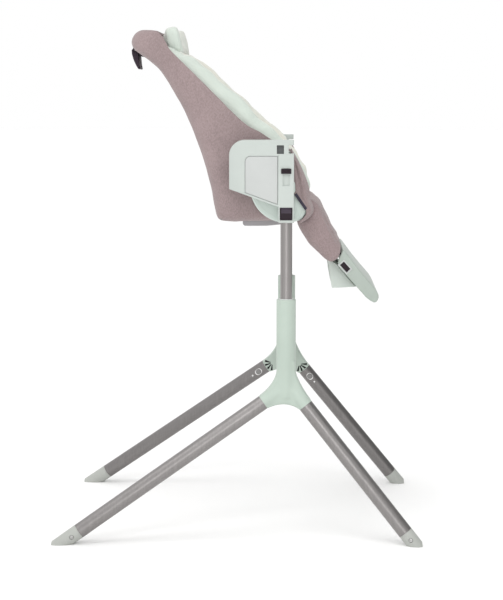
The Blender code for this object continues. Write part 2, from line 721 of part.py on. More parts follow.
pin_x, pin_z = lever_pin.x, lever_pin.z
lug_outer = lever_half_width + 0.006
bracket = box("lever_bracket", (-0.2065, -lug_outer, 0.977), (-0.1925, lug_outer, 1.001))
lugs = []
for side_name, side in SIDES.items():
    span = side_span(side, lever_half_width + 0.0006, lug_outer)
    lugs.append(box(f"lever_lug_{side_name}", (pin_x - 0.0055, span[0], pin_z - 0.0055),
                    (-0.200, span[1], pin_z + 0.0055)))
fuse(bracket, *lugs)
cut(bracket, rod("lever_lug_bore", at(lever_pin, -0.1), at(lever_pin, 0.1),
                 lever_pin_diameter + 2 * gap, 16))
add_part(bracket, "black")
pin = rod("lever_pin", at(lever_pin, -lug_outer), at(lever_pin, lug_outer), lever_pin_diameter, 16)
add_part(pin, "steel")
lever_outline = [(pin_x - 0.005, pin_z + 0.004), (pin_x, pin_z + 0.0055), (pin_x + 0.004, pin_z + 0.003),
                 *smooth([(pin_x + 0.0065, pin_z - 0.010), (pin_x + 0.007, pin_z - 0.020),
                          (pin_x + 0.0105, pin_z - 0.038), (pin_x + 0.008, pin_z - 0.0415)], 3),
                 *smooth([(pin_x + 0.004, pin_z - 0.040), (pin_x - 0.003, pin_z - 0.026),
                          (pin_x - 0.0075, pin_z - 0.008)], 3)]
lever = plate("recline_lever", lever_outline, -lever_half_width, lever_half_width)
cut(lever, rod("lever_bore", at(lever_pin, -0.1), at(lever_pin, 0.1),
               lever_pin_diameter + 2 * slide_fit, 16))
add_part(lever, "black")


# Leg rest and footrest ---------------------------------------------------------------------------
board_line = smooth([(0.1265, 0.6570), (0.136, 0.620), (0.151, 0.598), (0.170, 0.577), (0.1865, 0.5625)])
board = plate("leg_rest_board", ribbon(board_line, board_thickness), -leg_rest_half_width,
              leg_rest_half_width)
fuse(board, rod("knee_barrel", at(knee_hinge, -leg_rest_half_width), at(knee_hinge, leg_rest_half_width),
                2 * barrel_radius, 16))
cut(board, rod_hole("knee_bore", knee_hinge, 2 * pan_half_width))
add_part(board, "grey")

pad_line = offset(board_line, board_thickness + gap)[2:]
pad_front = smooth([(0.2035, 0.586), (0.2000, 0.602), (0.1945, 0.614), (0.1825, 0.639), (0.1695, 0.669),
                    (0.160, 0.680), (0.148, 0.683)])
leg_pad = plate("leg_rest_pad", pad_line + pad_front + [(0.141, 0.672)], -leg_rest_half_width,
                leg_rest_half_width)
add_part(leg_pad, "mauve")

slide_start = Vector((0.2035, 0, 0.5475))
slide_end = Vector((0.258, 0, 0.4865))
slide_direction = (slide_end - slide_start).normalized()
slide_normal = Vector((-slide_direction.z, 0, slide_direction.x))


def on_slide(along, above):
    """The (x, z) point this far along the footrest's slide and this far above its lower face."""
    point = slide_start + slide_direction * along + slide_normal * above
    return point.x, point.z


bracket_outline = [(0.189, 0.5575), (0.1915, 0.523), (0.194, 0.500), (0.243, 0.5025),
                   on_slide(0.050, 0.005), on_slide(0.004, 0.005), on_slide(-0.003, 0.0)]
footrest_bracket = plate("footrest_bracket", bracket_outline, -bracket_half_width, bracket_half_width)
tongue_outline = [on_slide(along, above) for along, above in ((0.002, 0.0045), (0.056, 0.0045),
                                                              (0.056, 0.0085), (0.002, 0.0085))]
tongue_half = footrest_half_width - 0.016
fuse(footrest_bracket, plate("footrest_tongue", tongue_outline, -tongue_half, tongue_half))
add_part(footrest_bracket, "mint")

toe_line = smooth([(0.2825, 0.505), (0.2885, 0.487), (0.2862, 0.4795), (0.2815, 0.4738), (0.270, 0.4782)], 2)
footrest_outline = [(0.2050, 0.5625), (0.2125, 0.579), (0.2168, 0.5815), (0.2225, 0.5745), (0.2421, 0.548),
                    (0.260, 0.527), *toe_line, (0.262, 0.4845), (0.229, 0.5215), (0.2035, 0.550)]
footrest = plate("footrest_panel", footrest_outline, -footrest_half_width, footrest_half_width)
trough = [(0.196, 0.5705), (0.212, 0.5745), (0.2172, 0.5755), (0.2202, 0.5725), (0.2398, 0.5458),
          (0.2577, 0.5247), (0.2795, 0.5032), (0.2850, 0.487), (0.278, 0.470), (0.264, 0.474), (0.225, 0.515),
          (0.196, 0.550)]
inner_half = footrest_half_width - footrest_wall
button_centre = slide_start + slide_direction * 0.0105 + Vector((0.0085, 0, 0.0075))
button_along = slide_direction * 0.010
button_across = slide_normal * 0.0052


def footrest_button_outline(grow):
    along, across = button_along * grow, button_across * grow
    corners = [-along - across, along - across, along + across, -along + across]
    return [((button_centre + c).x, (button_centre + c).z) for c in corners]


cut(footrest, plate("footrest_trough", trough, -inner_half, inner_half))
for side_name, side in SIDES.items():
    span = side_span(side, inner_half - 0.01, footrest_half_width + 0.01)
    cut(footrest, plate(f"footrest_button_hole_{side_name}", footrest_button_outline(1.06), *span))
add_part(footrest, "mint")
for side_name, side in SIDES.items():
    span = side_span(side, footrest_half_width - 0.008, footrest_half_width + 0.0035)
    add_part(plate(f"footrest_button_{side_name}", footrest_button_outline(1.0), *span), "black")


# Joint origins -----------------------------------------------------------------------------------
def joint_origin(name, place, members):
    """An empty on a joint's axis, which its pieces are parented to where they stand."""
    empty = bpy.data.objects.new(name, None)
    empty.location = place
    parts.objects.link(empty)
    bpy.context.view_layer.update()
    for member in members:
        child = bpy.data.objects[member]
        child.parent = empty
        child.matrix_parent_inverse = empty.matrix_world.inverted()


joint_origin("recline_axis", back_hinge,
             ["back_shell", "back_wing_right", "back_wing_left", "liner_back", "head_pad",
              "shoulder_strap_right", "shoulder_strap_left", "lever_bracket", "lever_pin"])
joint_origin("lever_axis", lever_pin, ["recline_lever"])
joint_origin("tilt_axis", Vector((disc_x, 0, disc_z)), ["hinge_disc_right", "hinge_disc_left", "seat_pan"])
joint_origin("knee_axis", knee_hinge, ["leg_rest_board", "leg_rest_pad", "footrest_bracket"])
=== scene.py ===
import bpy
import numpy as np
from math import cos, pi, radians, sin, tau
from mathutils import Matrix, Vector, noise


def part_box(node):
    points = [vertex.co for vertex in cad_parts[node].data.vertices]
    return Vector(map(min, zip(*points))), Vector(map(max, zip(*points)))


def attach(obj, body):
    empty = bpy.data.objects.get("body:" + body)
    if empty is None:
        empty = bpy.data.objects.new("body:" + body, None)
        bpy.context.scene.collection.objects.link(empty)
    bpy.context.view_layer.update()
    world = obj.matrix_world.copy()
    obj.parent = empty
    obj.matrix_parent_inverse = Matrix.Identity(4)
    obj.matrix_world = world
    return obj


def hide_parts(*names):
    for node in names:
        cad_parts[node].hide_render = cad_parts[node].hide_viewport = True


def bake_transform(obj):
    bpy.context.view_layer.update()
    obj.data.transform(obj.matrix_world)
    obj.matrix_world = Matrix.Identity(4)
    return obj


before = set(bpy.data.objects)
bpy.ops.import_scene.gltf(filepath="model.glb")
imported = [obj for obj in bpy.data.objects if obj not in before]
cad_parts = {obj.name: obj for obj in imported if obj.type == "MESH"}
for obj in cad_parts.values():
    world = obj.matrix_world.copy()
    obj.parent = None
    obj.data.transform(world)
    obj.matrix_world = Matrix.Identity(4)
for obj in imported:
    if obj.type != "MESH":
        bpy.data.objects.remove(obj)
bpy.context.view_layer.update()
SIDES = {"right": -1, "left": 1}
ENDS = ("rear", "front")

# Camera -----------------------------------------------------------------------------------------
# It stands level with the seat, 3.8 m out on the child's right, and looks a little down on the stand.
camera_place = (0.1051, -3.8178, 0.9030)
camera_tilt, camera_turn = radians(83.394), radians(1.220)
camera_lens = 107.76
bpy.ops.object.select_all(action="DESELECT")
bpy.ops.object.camera_add(location=camera_place, rotation=(camera_tilt, 0, camera_turn))
camera = bpy.context.object
camera.data.lens = camera_lens
bpy.context.scene.camera = camera


# Studio -----------------------------------------------------------------------------------------
# A wide pale floor under a white sky that falls off towards the child's feet, so that the tubes have
# a darker side, a soft sun, and two strip lights whose reflections run along the tubes.
class Link:
    """The output of a node, whose operators add Math nodes to the same finish."""

    def __init__(self, finish, socket):
        self.finish, self.socket = finish, socket

    def maths(self, operation, *values):
        return self.finish.node("ShaderNodeMath", {"operation": operation}, dict(enumerate(values)))

    def __add__(self, other):
        return self.maths("ADD", self, other)

    def __sub__(self, other):
        return self.maths("SUBTRACT", self, other)

    def __rsub__(self, other):
        return self.maths("SUBTRACT", other, self)

    def __mul__(self, other):
        return self.maths("MULTIPLY", self, other)

    __radd__, __rmul__ = __add__, __mul__

    def sine(self):
        return self.maths("SINE", self)

    def size(self):
        return self.maths("ABSOLUTE", self)

    def steps(self, low, high):
        """0 below low, 1 above high, and smooth between them."""
        return self.finish.node("ShaderNodeMapRange", {"interpolation_type": "SMOOTHSTEP"},
                                {"Value": self, "From Min": low, "From Max": high})


class Finish:
    """A material: its shader with constant values, and one method that adds every other node."""

    def __init__(self, name, constants):
        self.material = bpy.data.materials.new(name)
        self.material.use_nodes = True
        self.tree = self.material.node_tree
        self.shader = self.tree.nodes["Principled BSDF"]
        for socket, value in constants.items():
            self.shader.inputs[socket].default_value = value
        self.place = self.node("ShaderNodeTexCoord", output="Object")

    def join(self, socket, value):
        if isinstance(value, Link):
            self.tree.links.new(value.socket, socket)
        else:
            socket.default_value = value

    def node(self, kind, settings=None, inputs=None, output=0):
        node = self.tree.nodes.new(kind)
        for name, value in (settings or {}).items():
            setattr(node, name, value)
        for name, value in (inputs or {}).items():
            self.join(node.inputs[name], value)
        return Link(self, node.outputs[output])

    def cloud(self, scale, detail=3.0, place=None, roughness=0.55):
        """Noise of about 1 / scale metres."""
        return self.node("ShaderNodeTexNoise", {}, {"Vector": place or self.place, "Scale": scale,
                                                    "Detail": detail, "Roughness": roughness})

    def axes(self):
        """The x, y and z of the object's own coordinates."""
        parts = self.node("ShaderNodeSeparateXYZ", {}, {0: self.place}).socket.node
        return [Link(self, output) for output in parts.outputs]

    def turned(self, rotation, stretch):
        """The object's coordinates, turned and stretched."""
        return self.node("ShaderNodeMapping", {}, {"Vector": self.place, "Rotation": rotation,
                                                   "Scale": stretch})

    def tint(self, share, first, second):
        """From the first colour to the second as share goes from 0 to 1."""
        first, second = ((*c, 1.0) if isinstance(c, tuple) else c for c in (first, second))
        return self.node("ShaderNodeMix", {"data_type": "RGBA"}, {0: share, 6: first, 7: second}, 2)

    def relief(self, height, depth):
        """A bump whose full height is depth in metres."""
        self.set("Normal", self.node("ShaderNodeBump", {}, {"Strength": 1.0, "Distance": depth,
                                                            "Height": height}))

    def set(self, socket, value):
        self.join(self.shader.inputs[socket], value)


def shade(colour, factor):
    return tuple(channel * factor for channel in colour)


floor_colour = (0.975, 0.975, 0.97)
floor_reach, floor_depth = 40.0, 0.02
bpy.ops.mesh.primitive_circle_add(vertices=128, radius=floor_reach, fill_type="NGON")
floor = bpy.context.object
floor.name = "studio_floor"
bpy.ops.object.mode_set(mode="EDIT")
bpy.ops.mesh.extrude_region_move(TRANSFORM_OT_translate={"value": (0, 0, -floor_depth)})
bpy.ops.mesh.select_all(action="SELECT")
bpy.ops.mesh.normals_make_consistent(inside=False)
bpy.ops.object.mode_set(mode="OBJECT")
floor_finish = Finish("floor_paint", {"Roughness": 0.85, "Specular IOR Level": 0.1})
floor_finish.set("Base Color", floor_finish.tint(floor_finish.cloud(3.0), shade(floor_colour, 0.995),
                                                 floor_colour))
floor.data.materials.append(floor_finish.material)

sky_edges, sky_dark = (0.35, 0.85), 0.35
world = bpy.data.worlds.new("studio_sky")
bpy.context.scene.world = world
world.use_nodes = True
sky = world.node_tree
sky_parts = sky.nodes.new("ShaderNodeSeparateXYZ")
sky.links.new(sky.nodes.new("ShaderNodeTexCoord").outputs["Generated"], sky_parts.inputs[0])
sky_fall = sky.nodes.new("ShaderNodeMapRange")
sky_fall.interpolation_type = "SMOOTHSTEP"
for socket, value in zip(("From Min", "From Max", "To Min", "To Max"), (*sky_edges, 1.0, sky_dark)):
    sky_fall.inputs[socket].default_value = value
sky.links.new(sky_parts.outputs["X"], sky_fall.inputs["Value"])
sky_shown = sky.nodes.new("ShaderNodeMath")
sky_shown.operation = "MAXIMUM"
sky.links.new(sky.nodes.new("ShaderNodeLightPath").outputs["Is Camera Ray"], sky_shown.inputs[0])
sky.links.new(sky_fall.outputs["Result"], sky_shown.inputs[1])
sky.links.new(sky_shown.outputs[0], sky.nodes["Background"].inputs["Strength"])
sky.nodes["Background"].inputs["Color"].default_value = (1.0, 1.0, 1.0, 1.0)
bpy.context.scene.view_settings.view_transform = "Standard"


def lamp(kind, name, place, target, energy, **settings):
    """A light that looks at its target."""
    aim = (Vector(target) - Vector(place)).to_track_quat("-Z", "Y").to_euler()
    bpy.ops.object.light_add(type=kind, location=place, rotation=aim)
    light = bpy.context.object
    light.name = name
    light.data.energy = energy
    for setting, value in settings.items():
        setattr(light.data, setting, value)


lamp("SUN", "soft_sun", (-1.6, -1.4, 5.0), (0.0, 0.0, 0.5), 0.55, angle=radians(30))
lamp("AREA", "upright_light", (0.05, -4.2, 1.0), (0.1, 0.0, 0.55), 17.0,
     shape="RECTANGLE", size=0.75, size_y=2.4)
lamp("AREA", "strip_light", (0.6, -2.4, 2.6), (0.0, -0.2, 0.3), 20.0,
     shape="RECTANGLE", size=3.2, size_y=0.26)


# Hubs -------------------------------------------------------------------------------------------
# Each hub is one glass-filled nylon moulding: a column that takes the post, and two arms that plug
# into the legs. The arms flow into the column, with moulded grip slots on the inner face.
def pick(*pieces):
    """Only these objects are selected, and the last one is active."""
    if bpy.context.object and bpy.context.object.mode != "OBJECT":
        bpy.ops.object.mode_set(mode="OBJECT")
    bpy.ops.object.select_all(action="DESELECT")
    for piece in pieces:
        piece.select_set(True)
    bpy.context.view_layer.objects.active = pieces[-1]
    return pieces[-1]


def settle(name):
    """Names the newest object and puts its place into its mesh."""
    piece = pick(bpy.context.object)
    piece.name = name
    bpy.ops.object.transform_apply(location=True, rotation=True, scale=True)
    return piece


def work(piece, kind, **settings):
    """Adds a modifier to the piece and applies it."""
    pick(piece)
    modifier = piece.modifiers.new(kind.lower(), kind)
    for setting, value in settings.items():
        setattr(modifier, setting, value)
    bpy.ops.object.modifier_apply(modifier=modifier.name)
    return piece


def merge(name, *pieces):
    """Joins pieces that touch into one object."""
    pick(*pieces)
    bpy.ops.object.join()
    bpy.context.object.name = name
    return bpy.context.object


def turn_out(piece):
    """Turns every face of a piece outwards."""
    pick(piece)
    bpy.ops.object.mode_set(mode="EDIT")
    bpy.ops.mesh.select_all(action="SELECT")
    bpy.ops.mesh.normals_make_consistent(inside=False)
    bpy.ops.object.mode_set(mode="OBJECT")
    return piece


def bar(name, start, end, radius, sides=48, end_radius=None):
    """A round bar between two points."""
    start, end = Vector(start), Vector(end)
    turn = (end - start).to_track_quat("Z", "Y").to_euler()
    bpy.ops.mesh.primitive_cone_add(vertices=sides, radius1=radius, depth=(end - start).length,
                                    radius2=radius if end_radius is None else end_radius,
                                    location=(start + end) / 2, rotation=turn)
    return settle(name)


def slab(name, outline, low, high):
    """A plate with an outline of (x, z) points, from one y to another."""
    low, high = sorted((low, high))
    bpy.ops.mesh.primitive_circle_add(vertices=len(outline), fill_type="NGON", rotation=(pi / 2, 0, 0))
    plate = settle(name)
    for vertex, (x, z) in zip(plate.data.vertices, outline):
        vertex.co = (x, low, z)
    bpy.ops.object.mode_set(mode="EDIT")
    bpy.ops.mesh.select_all(action="SELECT")
    bpy.ops.mesh.extrude_region_move(TRANSFORM_OT_translate={"value": (0, high - low, 0)})
    return turn_out(plate)


def oblong(rear, front, low, high):
    """The corners of an upright rectangle."""
    return [(rear, low), (front, low), (front, high), (rear, high)]


def carve(piece, *tools, way="DIFFERENCE"):
    """Cuts the tools out of the piece, or adds them to it, and throws them away."""
    tool = merge("tool", *tools) if len(tools) > 1 else tools[0]
    work(piece, "BOOLEAN", operation=way, object=tool, solver="EXACT", use_self=len(tools) > 1,
         material_mode="TRANSFER")
    bpy.data.objects.remove(tool)
    return piece


def mirrored(piece, name):
    """A copy of the piece for the other side of the object."""
    pick(piece)
    bpy.ops.object.duplicate()
    bpy.ops.transform.mirror(constraint_axis=(False, True, False), center_override=(0, 0, 0))
    return turn_out(settle(name))


def trim(piece, point, normal, round_off=0.0):
    """Cuts off what lies beyond a plane, closes the cut and rounds its edge."""
    pick(piece)
    bpy.ops.object.mode_set(mode="EDIT")
    bpy.ops.mesh.select_all(action="SELECT")
    bpy.ops.mesh.bisect(plane_co=point, plane_no=normal, use_fill=True, clear_outer=True)
    if round_off:
        bpy.ops.mesh.bevel(offset=round_off, segments=3, clamp_overlap=True)
    bpy.ops.object.mode_set(mode="OBJECT")
    return piece


def soften(piece, width, segments=3, angle=35):
    """Rounds the moulded edges."""
    return work(piece, "BEVEL", width=width, segments=segments, limit_method="ANGLE",
                angle_limit=radians(angle), harden_normals=False)


def coat(piece, finish):
    """Gives the whole piece one finish."""
    piece.data.materials.clear()
    piece.data.materials.append(finish.material)


def fit(piece, body, slot, finish, *nodes, angle=35):
    """Shades a finished piece, gives it its finish, and fixes it to its body in place of CAD nodes."""
    pick(piece)
    bpy.ops.object.shade_smooth_by_angle(angle=radians(angle))
    if finish:
        coat(piece, finish)
    if body:
        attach(piece, body)
    if nodes:
        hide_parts(*nodes)
    return piece


def curve_to(start, control, end, steps=8):
    """Points along a curve that leaves start and reaches end, bent towards control."""
    start, control, end = Vector(start), Vector(control), Vector(end)
    shares = [i / steps for i in range(1, steps + 1)]
    return [tuple(start * (1 - s) ** 2 + control * 2 * s * (1 - s) + end * s * s) for s in shares]


def arc(centre, radius, first, last, steps=8):
    """Points along a circle, from the first angle to the last."""
    angles = [radians(first + (last - first) * i / steps) for i in range(steps + 1)]
    return [(centre[0] + radius * cos(a), centre[1] + radius * sin(a)) for a in angles]


def axis_of(node):
    """The middles of the upper and the lower end of a long round CAD node."""
    points = np.unique(np.array([v.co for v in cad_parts[node].data.vertices]).round(5), axis=0)
    along = np.linalg.svd(points - points.mean(0), full_matrices=False)[2][0]
    reach = points @ along
    ends = [points[reach < reach.min() + 0.002], points[reach > reach.max() - 0.002]]
    return sorted((Vector(end.mean(0)) for end in ends), key=lambda point: -point.z)


def plastic(name, colour, roughness=0.42, grain=0.00003, shine=0.5):
    """A moulded plastic: a fine spark texture, faint flow marks and handling haze."""
    finish = Finish(name, {"IOR": 1.47, "Specular IOR Level": shine})
    flow = finish.cloud(9.0, 4.0)
    spark = finish.cloud(2600.0, 2.0)
    haze = finish.cloud(38.0, 5.0, roughness=0.65)
    finish.set("Base Color", finish.tint(flow.steps(0.3, 0.7), shade(colour, 0.97),
                                         shade(colour, 1.02)))
    finish.set("Roughness", haze.steps(0.35, 0.75) * 0.10 + (roughness - 0.04))
    finish.relief(spark, grain)
    return finish


hub_mint = plastic("hub_mint", (0.440, 0.515, 0.455))
# Near-black painted shade for the walls of the grip slots, which are moulded in the same mint nylon as
# the hub.
painted_slot_shade = plastic("painted_slot_shade", (0.030, 0.028, 0.030), 0.6)
leg_radius = 0.015
column_radius, bore_radius = 0.0196, 0.0123
arch_top = 0.2775
flare_top = 0.346
web_half = 0.0148
skin_step = 0.0018
flow_in = 0.001
blend_top, blend_fall, arm_fall, least_blend = 0.385, 0.05, 0.022, 0.04
boss_radii = (0.0175, 0.0160)
play = 0.0003
slot_turns = (-50, -17, 17, 50)
slot_back = 0.017
slot_reach = ((0.0040, 0.0009), (0.0172, 0.0024))


def make_hub(side_name, side):
    """One hub, with its bores, its bush seat and the grip slots on its inner face."""
    post_low, post_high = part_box(f"inner_post_{side_name}")
    hub_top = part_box(f"hub_{side_name}")[1].z
    bush_low, bush_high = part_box(f"post_bush_{side_name}")
    axis = (post_low + post_high) / 2

    def on_axis(z):
        return axis.x, axis.y, z

    legs = {end: axis_of(f"leg_tube_{end}_{side_name}") for end in ENDS}
    ways = {end: (lower - upper).normalized() for end, (upper, lower) in legs.items()}
    corners = {}
    for end, (upper, lower) in legs.items():
        flat = Vector((ways[end].x, ways[end].z)).normalized()
        normal = Vector((-flat.y, flat.x))
        normal = normal if normal.y > 0 else -normal
        for height, sign in (("top", 1), ("low", -1)):
            reach = normal * sign * (leg_radius - 0.0008)
            corners[end, height] = tuple(Vector((upper.x, upper.z)) + reach)
    left, right = axis.x - column_radius + flow_in, axis.x + column_radius - flow_in
    rear_top, rear_low = corners["rear", "top"], corners["rear", "low"]
    front_top, front_low = corners["front", "top"], corners["front", "low"]
    arch = (axis.x, 2 * arch_top - (rear_low[1] + front_low[1]) / 2)
    outline = [(right, flare_top + 0.02), (left, flare_top + 0.02), (left, flare_top),
               *curve_to((left, flare_top), (left - 0.004, rear_top[1] + 0.024), rear_top),
               rear_low, *curve_to(rear_low, arch, front_low, 12), front_top,
               *curve_to(front_top, (right + 0.006, front_top[1] + 0.036), (right, flare_top))]
    blanks = [slab("web", outline, axis.y - web_half, axis.y + web_half),
              bar("column", on_axis(arch_top + 0.014), on_axis(bush_high.z + 0.02), column_radius)]
    for end, (upper, lower) in legs.items():
        apex = upper + ways[end] * ((axis.x - upper.x) / ways[end].x)
        blanks.append(bar("arm", apex, upper + ways[end] * 0.02, leg_radius))
    hub = merge(f"hub_moulding_{side_name}", *blanks)
    work(hub, "REMESH", mode="VOXEL", voxel_size=skin_step, use_smooth_shade=True)
    blend_zone = hub.vertex_groups.new(name="blend")
    for vertex in hub.data.vertices:
        to_end = min((upper - vertex.co).dot(ways[end]) for end, (upper, lower) in legs.items())
        weight = (min(1.0, max(least_blend, (blend_top - vertex.co.z) / blend_fall))
                  * min(1.0, max(least_blend, to_end / arm_fall)))
        blend_zone.add([vertex.index], weight, "REPLACE")
    work(hub, "SMOOTH", factor=0.5, iterations=52, vertex_group="blend")
    hub.vertex_groups.clear()
    trim(hub, on_axis(hub_top), (0, 0, 1), 0.0016)
    for end, (upper, lower) in legs.items():
        trim(hub, upper, ways[end], 0.0004)
    bar_low, bar_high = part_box("cross_bar")
    boss_start = side * (abs(axis.y) - column_radius + 0.005)
    boss_end = side * (abs(axis.y) - column_radius - 0.014)
    bar_z = (bar_low.z + bar_high.z) / 2
    boss = bar("boss", (axis.x, boss_start, bar_z), (axis.x, boss_end, bar_z), boss_radii[0],
               end_radius=boss_radii[1])
    trim(boss, (axis.x, boss_end + side * 0.0001, bar_z), (0, -side, 0), 0.0008)
    carve(hub, boss, way="UNION")
    carve(hub, bar("bush_seat", on_axis(bush_low.z), on_axis(hub_top + 0.01),
                   (bush_high.x - bush_low.x) / 2 + play))
    carve(hub, bar("bore", on_axis(post_low.z - 0.145), on_axis(hub_top + 0.01), bore_radius))
    carve(hub, bar("bar_seat", (axis.x, boss_end - side * 0.002, bar_z),
                   (axis.x, boss_end + side * 0.012, bar_z), (bar_high.z - bar_low.z) / 2 + play))
    coat(hub, hub_mint)
    face = axis.y - side * leg_radius
    slots = []
    for end, (upper, lower) in legs.items():
        middle = Vector((upper.x, upper.z)) - Vector((ways[end].x, ways[end].z)) * slot_back
        for turn in slot_turns:
            spoke = Vector((ways[end].x, ways[end].z)).normalized()
            spoke.rotate(Matrix.Rotation(radians(turn), 2))
            across = Vector((-spoke.y, spoke.x))
            (near, near_half), (far, far_half) = [(middle + spoke * reach, across * half)
                                                  for reach, half in slot_reach]
            points = [near - near_half, far - far_half, far + far_half, near + near_half]
            slot = slab("slot", [tuple(p) for p in points], face - side * 0.003, face + side * 0.0065)
            # The slot's cut walls take the painted shade.
            coat(slot, painted_slot_shade)
            slots.append(slot)
    carve(hub, *slots)
    return hub


hub_right = make_hub("right", SIDES["right"])
hub_left = mirrored(hub_right, "hub_moulding_left")
fit(hub_right, "base_frame", "mint_plastic", None, "hub_right")
fit(hub_left, "base_frame", "mint_plastic", None, "hub_left")


# Leg tubes --------------------------------------------------------------------------------------
# Four drawn aluminium tubes, 30 mm across with a 1.5 mm wall, satin anodised. Each is pushed over a
# hub arm and held by a sprung button, inside a ring printed on the tube.
def aluminium(name, along, colour=(0.300, 0.284, 0.280)):
    """Anodised tube: fine draw lines that run along the tube, and a faint cloudy sheen."""
    finish = Finish(name, {"Metallic": 0.95, "Anisotropic": 0.35})
    turn = Vector(along).to_track_quat("Z", "Y").inverted().to_euler()
    lines = finish.cloud(1.0, 3.0, finish.turned(turn, (2400.0, 2400.0, 7.0)))
    bands = finish.cloud(1.0, 2.0, finish.turned(turn, (240.0, 240.0, 1.4)))
    sheen = finish.cloud(16.0, 4.0)
    tone = lines * 0.55 + bands * 0.45
    finish.set("Base Color", finish.tint(tone.steps(0.3, 0.7), shade(colour, 0.90),
                                         shade(colour, 1.10)))
    finish.set("Roughness", sheen.steps(0.3, 0.7) * 0.05 + lines.steps(0.3, 0.7) * 0.07 + 0.29)
    finish.relief(lines, 0.000012)
    return finish


def pipe(name, start, end, radius, wall, sides=64):
    """An open tube between two points, with its true wall."""
    start, end = Vector(start), Vector(end)
    turn = (end - start).to_track_quat("Z", "Y").to_euler()
    bpy.ops.mesh.primitive_cylinder_add(vertices=sides, radius=radius, depth=(end - start).length,
                                        end_fill_type="NOTHING", location=(start + end) / 2,
                                        rotation=turn)
    tube = settle(name)
    work(tube, "SOLIDIFY", thickness=wall, offset=-1)
    return tube


print_white = plastic("printed_ring", (0.82, 0.82, 0.81), 0.5, 0.0)
button_white = plastic("bush_acetal", (0.62, 0.64, 0.63), 0.35)
button_grey = plastic("snap_button_nylon", (0.235, 0.230, 0.228), 0.35)
leg_wall = 0.0015
ring_radius, ring_width = 0.0064, 0.0019
rivet_radius, rivet_gap = 0.0022, 0.0165
leg_tone = (0.275, 0.262, 0.258)

for side_name, side in SIDES.items():
    for end in ENDS:
        upper, lower = axis_of(f"leg_tube_{end}_{side_name}")
        along = (lower - upper).normalized()
        button_inner, button_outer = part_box(f"leg_snap_button_{end}_{side_name}")
        button_middle = (button_inner + button_outer) / 2
        seat = upper + along * (button_middle - upper).dot(along)
        out = (button_middle - seat).normalized()
        tube = pipe(f"leg_tube_{end}_{side_name}_drawn", upper, lower, leg_radius, leg_wall)
        carve(tube, bar("hole", seat, seat + out * 0.02, ring_radius, 32))
        rivet_place = seat + along * rivet_gap
        carve(tube, bar("rivet_hole", rivet_place, rivet_place + out * 0.02, rivet_radius, 20))
        # The far (left) legs get painted shade: the same anodised colour darkened to 0.82, for the shade
        # they stand in.
        tone = leg_tone if side < 0 else shade(leg_tone, 0.82)
        fit(tube, "base_frame", "aluminium_tube", aluminium(f"anodised_{end}_{side_name}", along, tone),
            f"leg_tube_{end}_{side_name}")
        rivet = bar(f"leg_rivet_{end}_{side_name}", rivet_place + out * 0.0130,
                    rivet_place + out * 0.0154, rivet_radius - 0.0002, 20)
        soften(rivet, 0.0005)
        fit(rivet, "base_frame", "steel", print_white)
        bpy.ops.mesh.primitive_circle_add(vertices=40, radius=ring_radius, fill_type="NOTHING",
                                          location=seat + out * (leg_radius + 0.001),
                                          rotation=out.to_track_quat("Z", "Y").to_euler())
        ring = bpy.context.object
        bpy.ops.object.mode_set(mode="EDIT")
        bpy.ops.mesh.extrude_edges_move()
        bpy.ops.transform.resize(value=(1 + ring_width / ring_radius,) * 3)
        bpy.ops.object.mode_set(mode="OBJECT")
        ring = settle(f"printed_ring_{end}_{side_name}")
        work(ring, "SHRINKWRAP", target=tube, offset=0.0001, wrap_method="NEAREST_SURFACEPOINT",
             wrap_mode="ABOVE_SURFACE")
        work(ring, "SOLIDIFY", thickness=0.0001, offset=1)
        fit(ring, "base_frame", "pale_plastic", print_white)

# Snap buttons -----------------------------------------------------------------------------------
# A round nylon button on a bent spring inside each hub arm. It snaps out through the leg's hole, and
# is pressed in to take the leg off. Its end is domed.
for side_name, side in SIDES.items():
    for end in ENDS:
        node = f"leg_snap_button_{end}_{side_name}"
        inner, outer = sorted(axis_of(node), key=lambda point: abs(point.y), reverse=True)
        button = bar(f"snap_button_{end}_{side_name}", inner, outer, 0.006, 40)
        way = (outer - inner).normalized()
        pick(button)
        bpy.ops.object.mode_set(mode="EDIT")
        bpy.ops.mesh.select_all(action="DESELECT")
        bpy.ops.object.mode_set(mode="OBJECT")
        for face in button.data.polygons:
            face.select = face.normal.dot(way) > 0.9
        bpy.ops.object.mode_set(mode="EDIT")
        bpy.ops.mesh.bevel(offset=0.0012, segments=4, affect="EDGES")
        bpy.ops.object.mode_set(mode="OBJECT")
        fit(button, node, "pale_plastic", button_grey, node)

# Foot caps and their screws ---------------------------------------------------------------------
# Nylon plugs that carry on the line of each leg and are cut off flat where they meet the floor. A
# cross-head screw through the side holds each cap in its tube.
foot_grey = plastic("foot_nylon", (0.400, 0.412, 0.387), 0.5)
screw_steel = Finish("zinc_screw", {"Metallic": 1.0})
zinc = screw_steel.cloud(700.0, 4.0)
screw_steel.set("Base Color", screw_steel.tint(zinc.steps(0.35, 0.65), (0.34, 0.34, 0.33),
                                               (0.50, 0.50, 0.49)))
screw_steel.set("Roughness", zinc * 0.2 + 0.24)
screw_steel.relief(zinc, 0.00001)
screw_radius = 0.0040
cross_size = (0.0046, 0.0010, 0.0040)

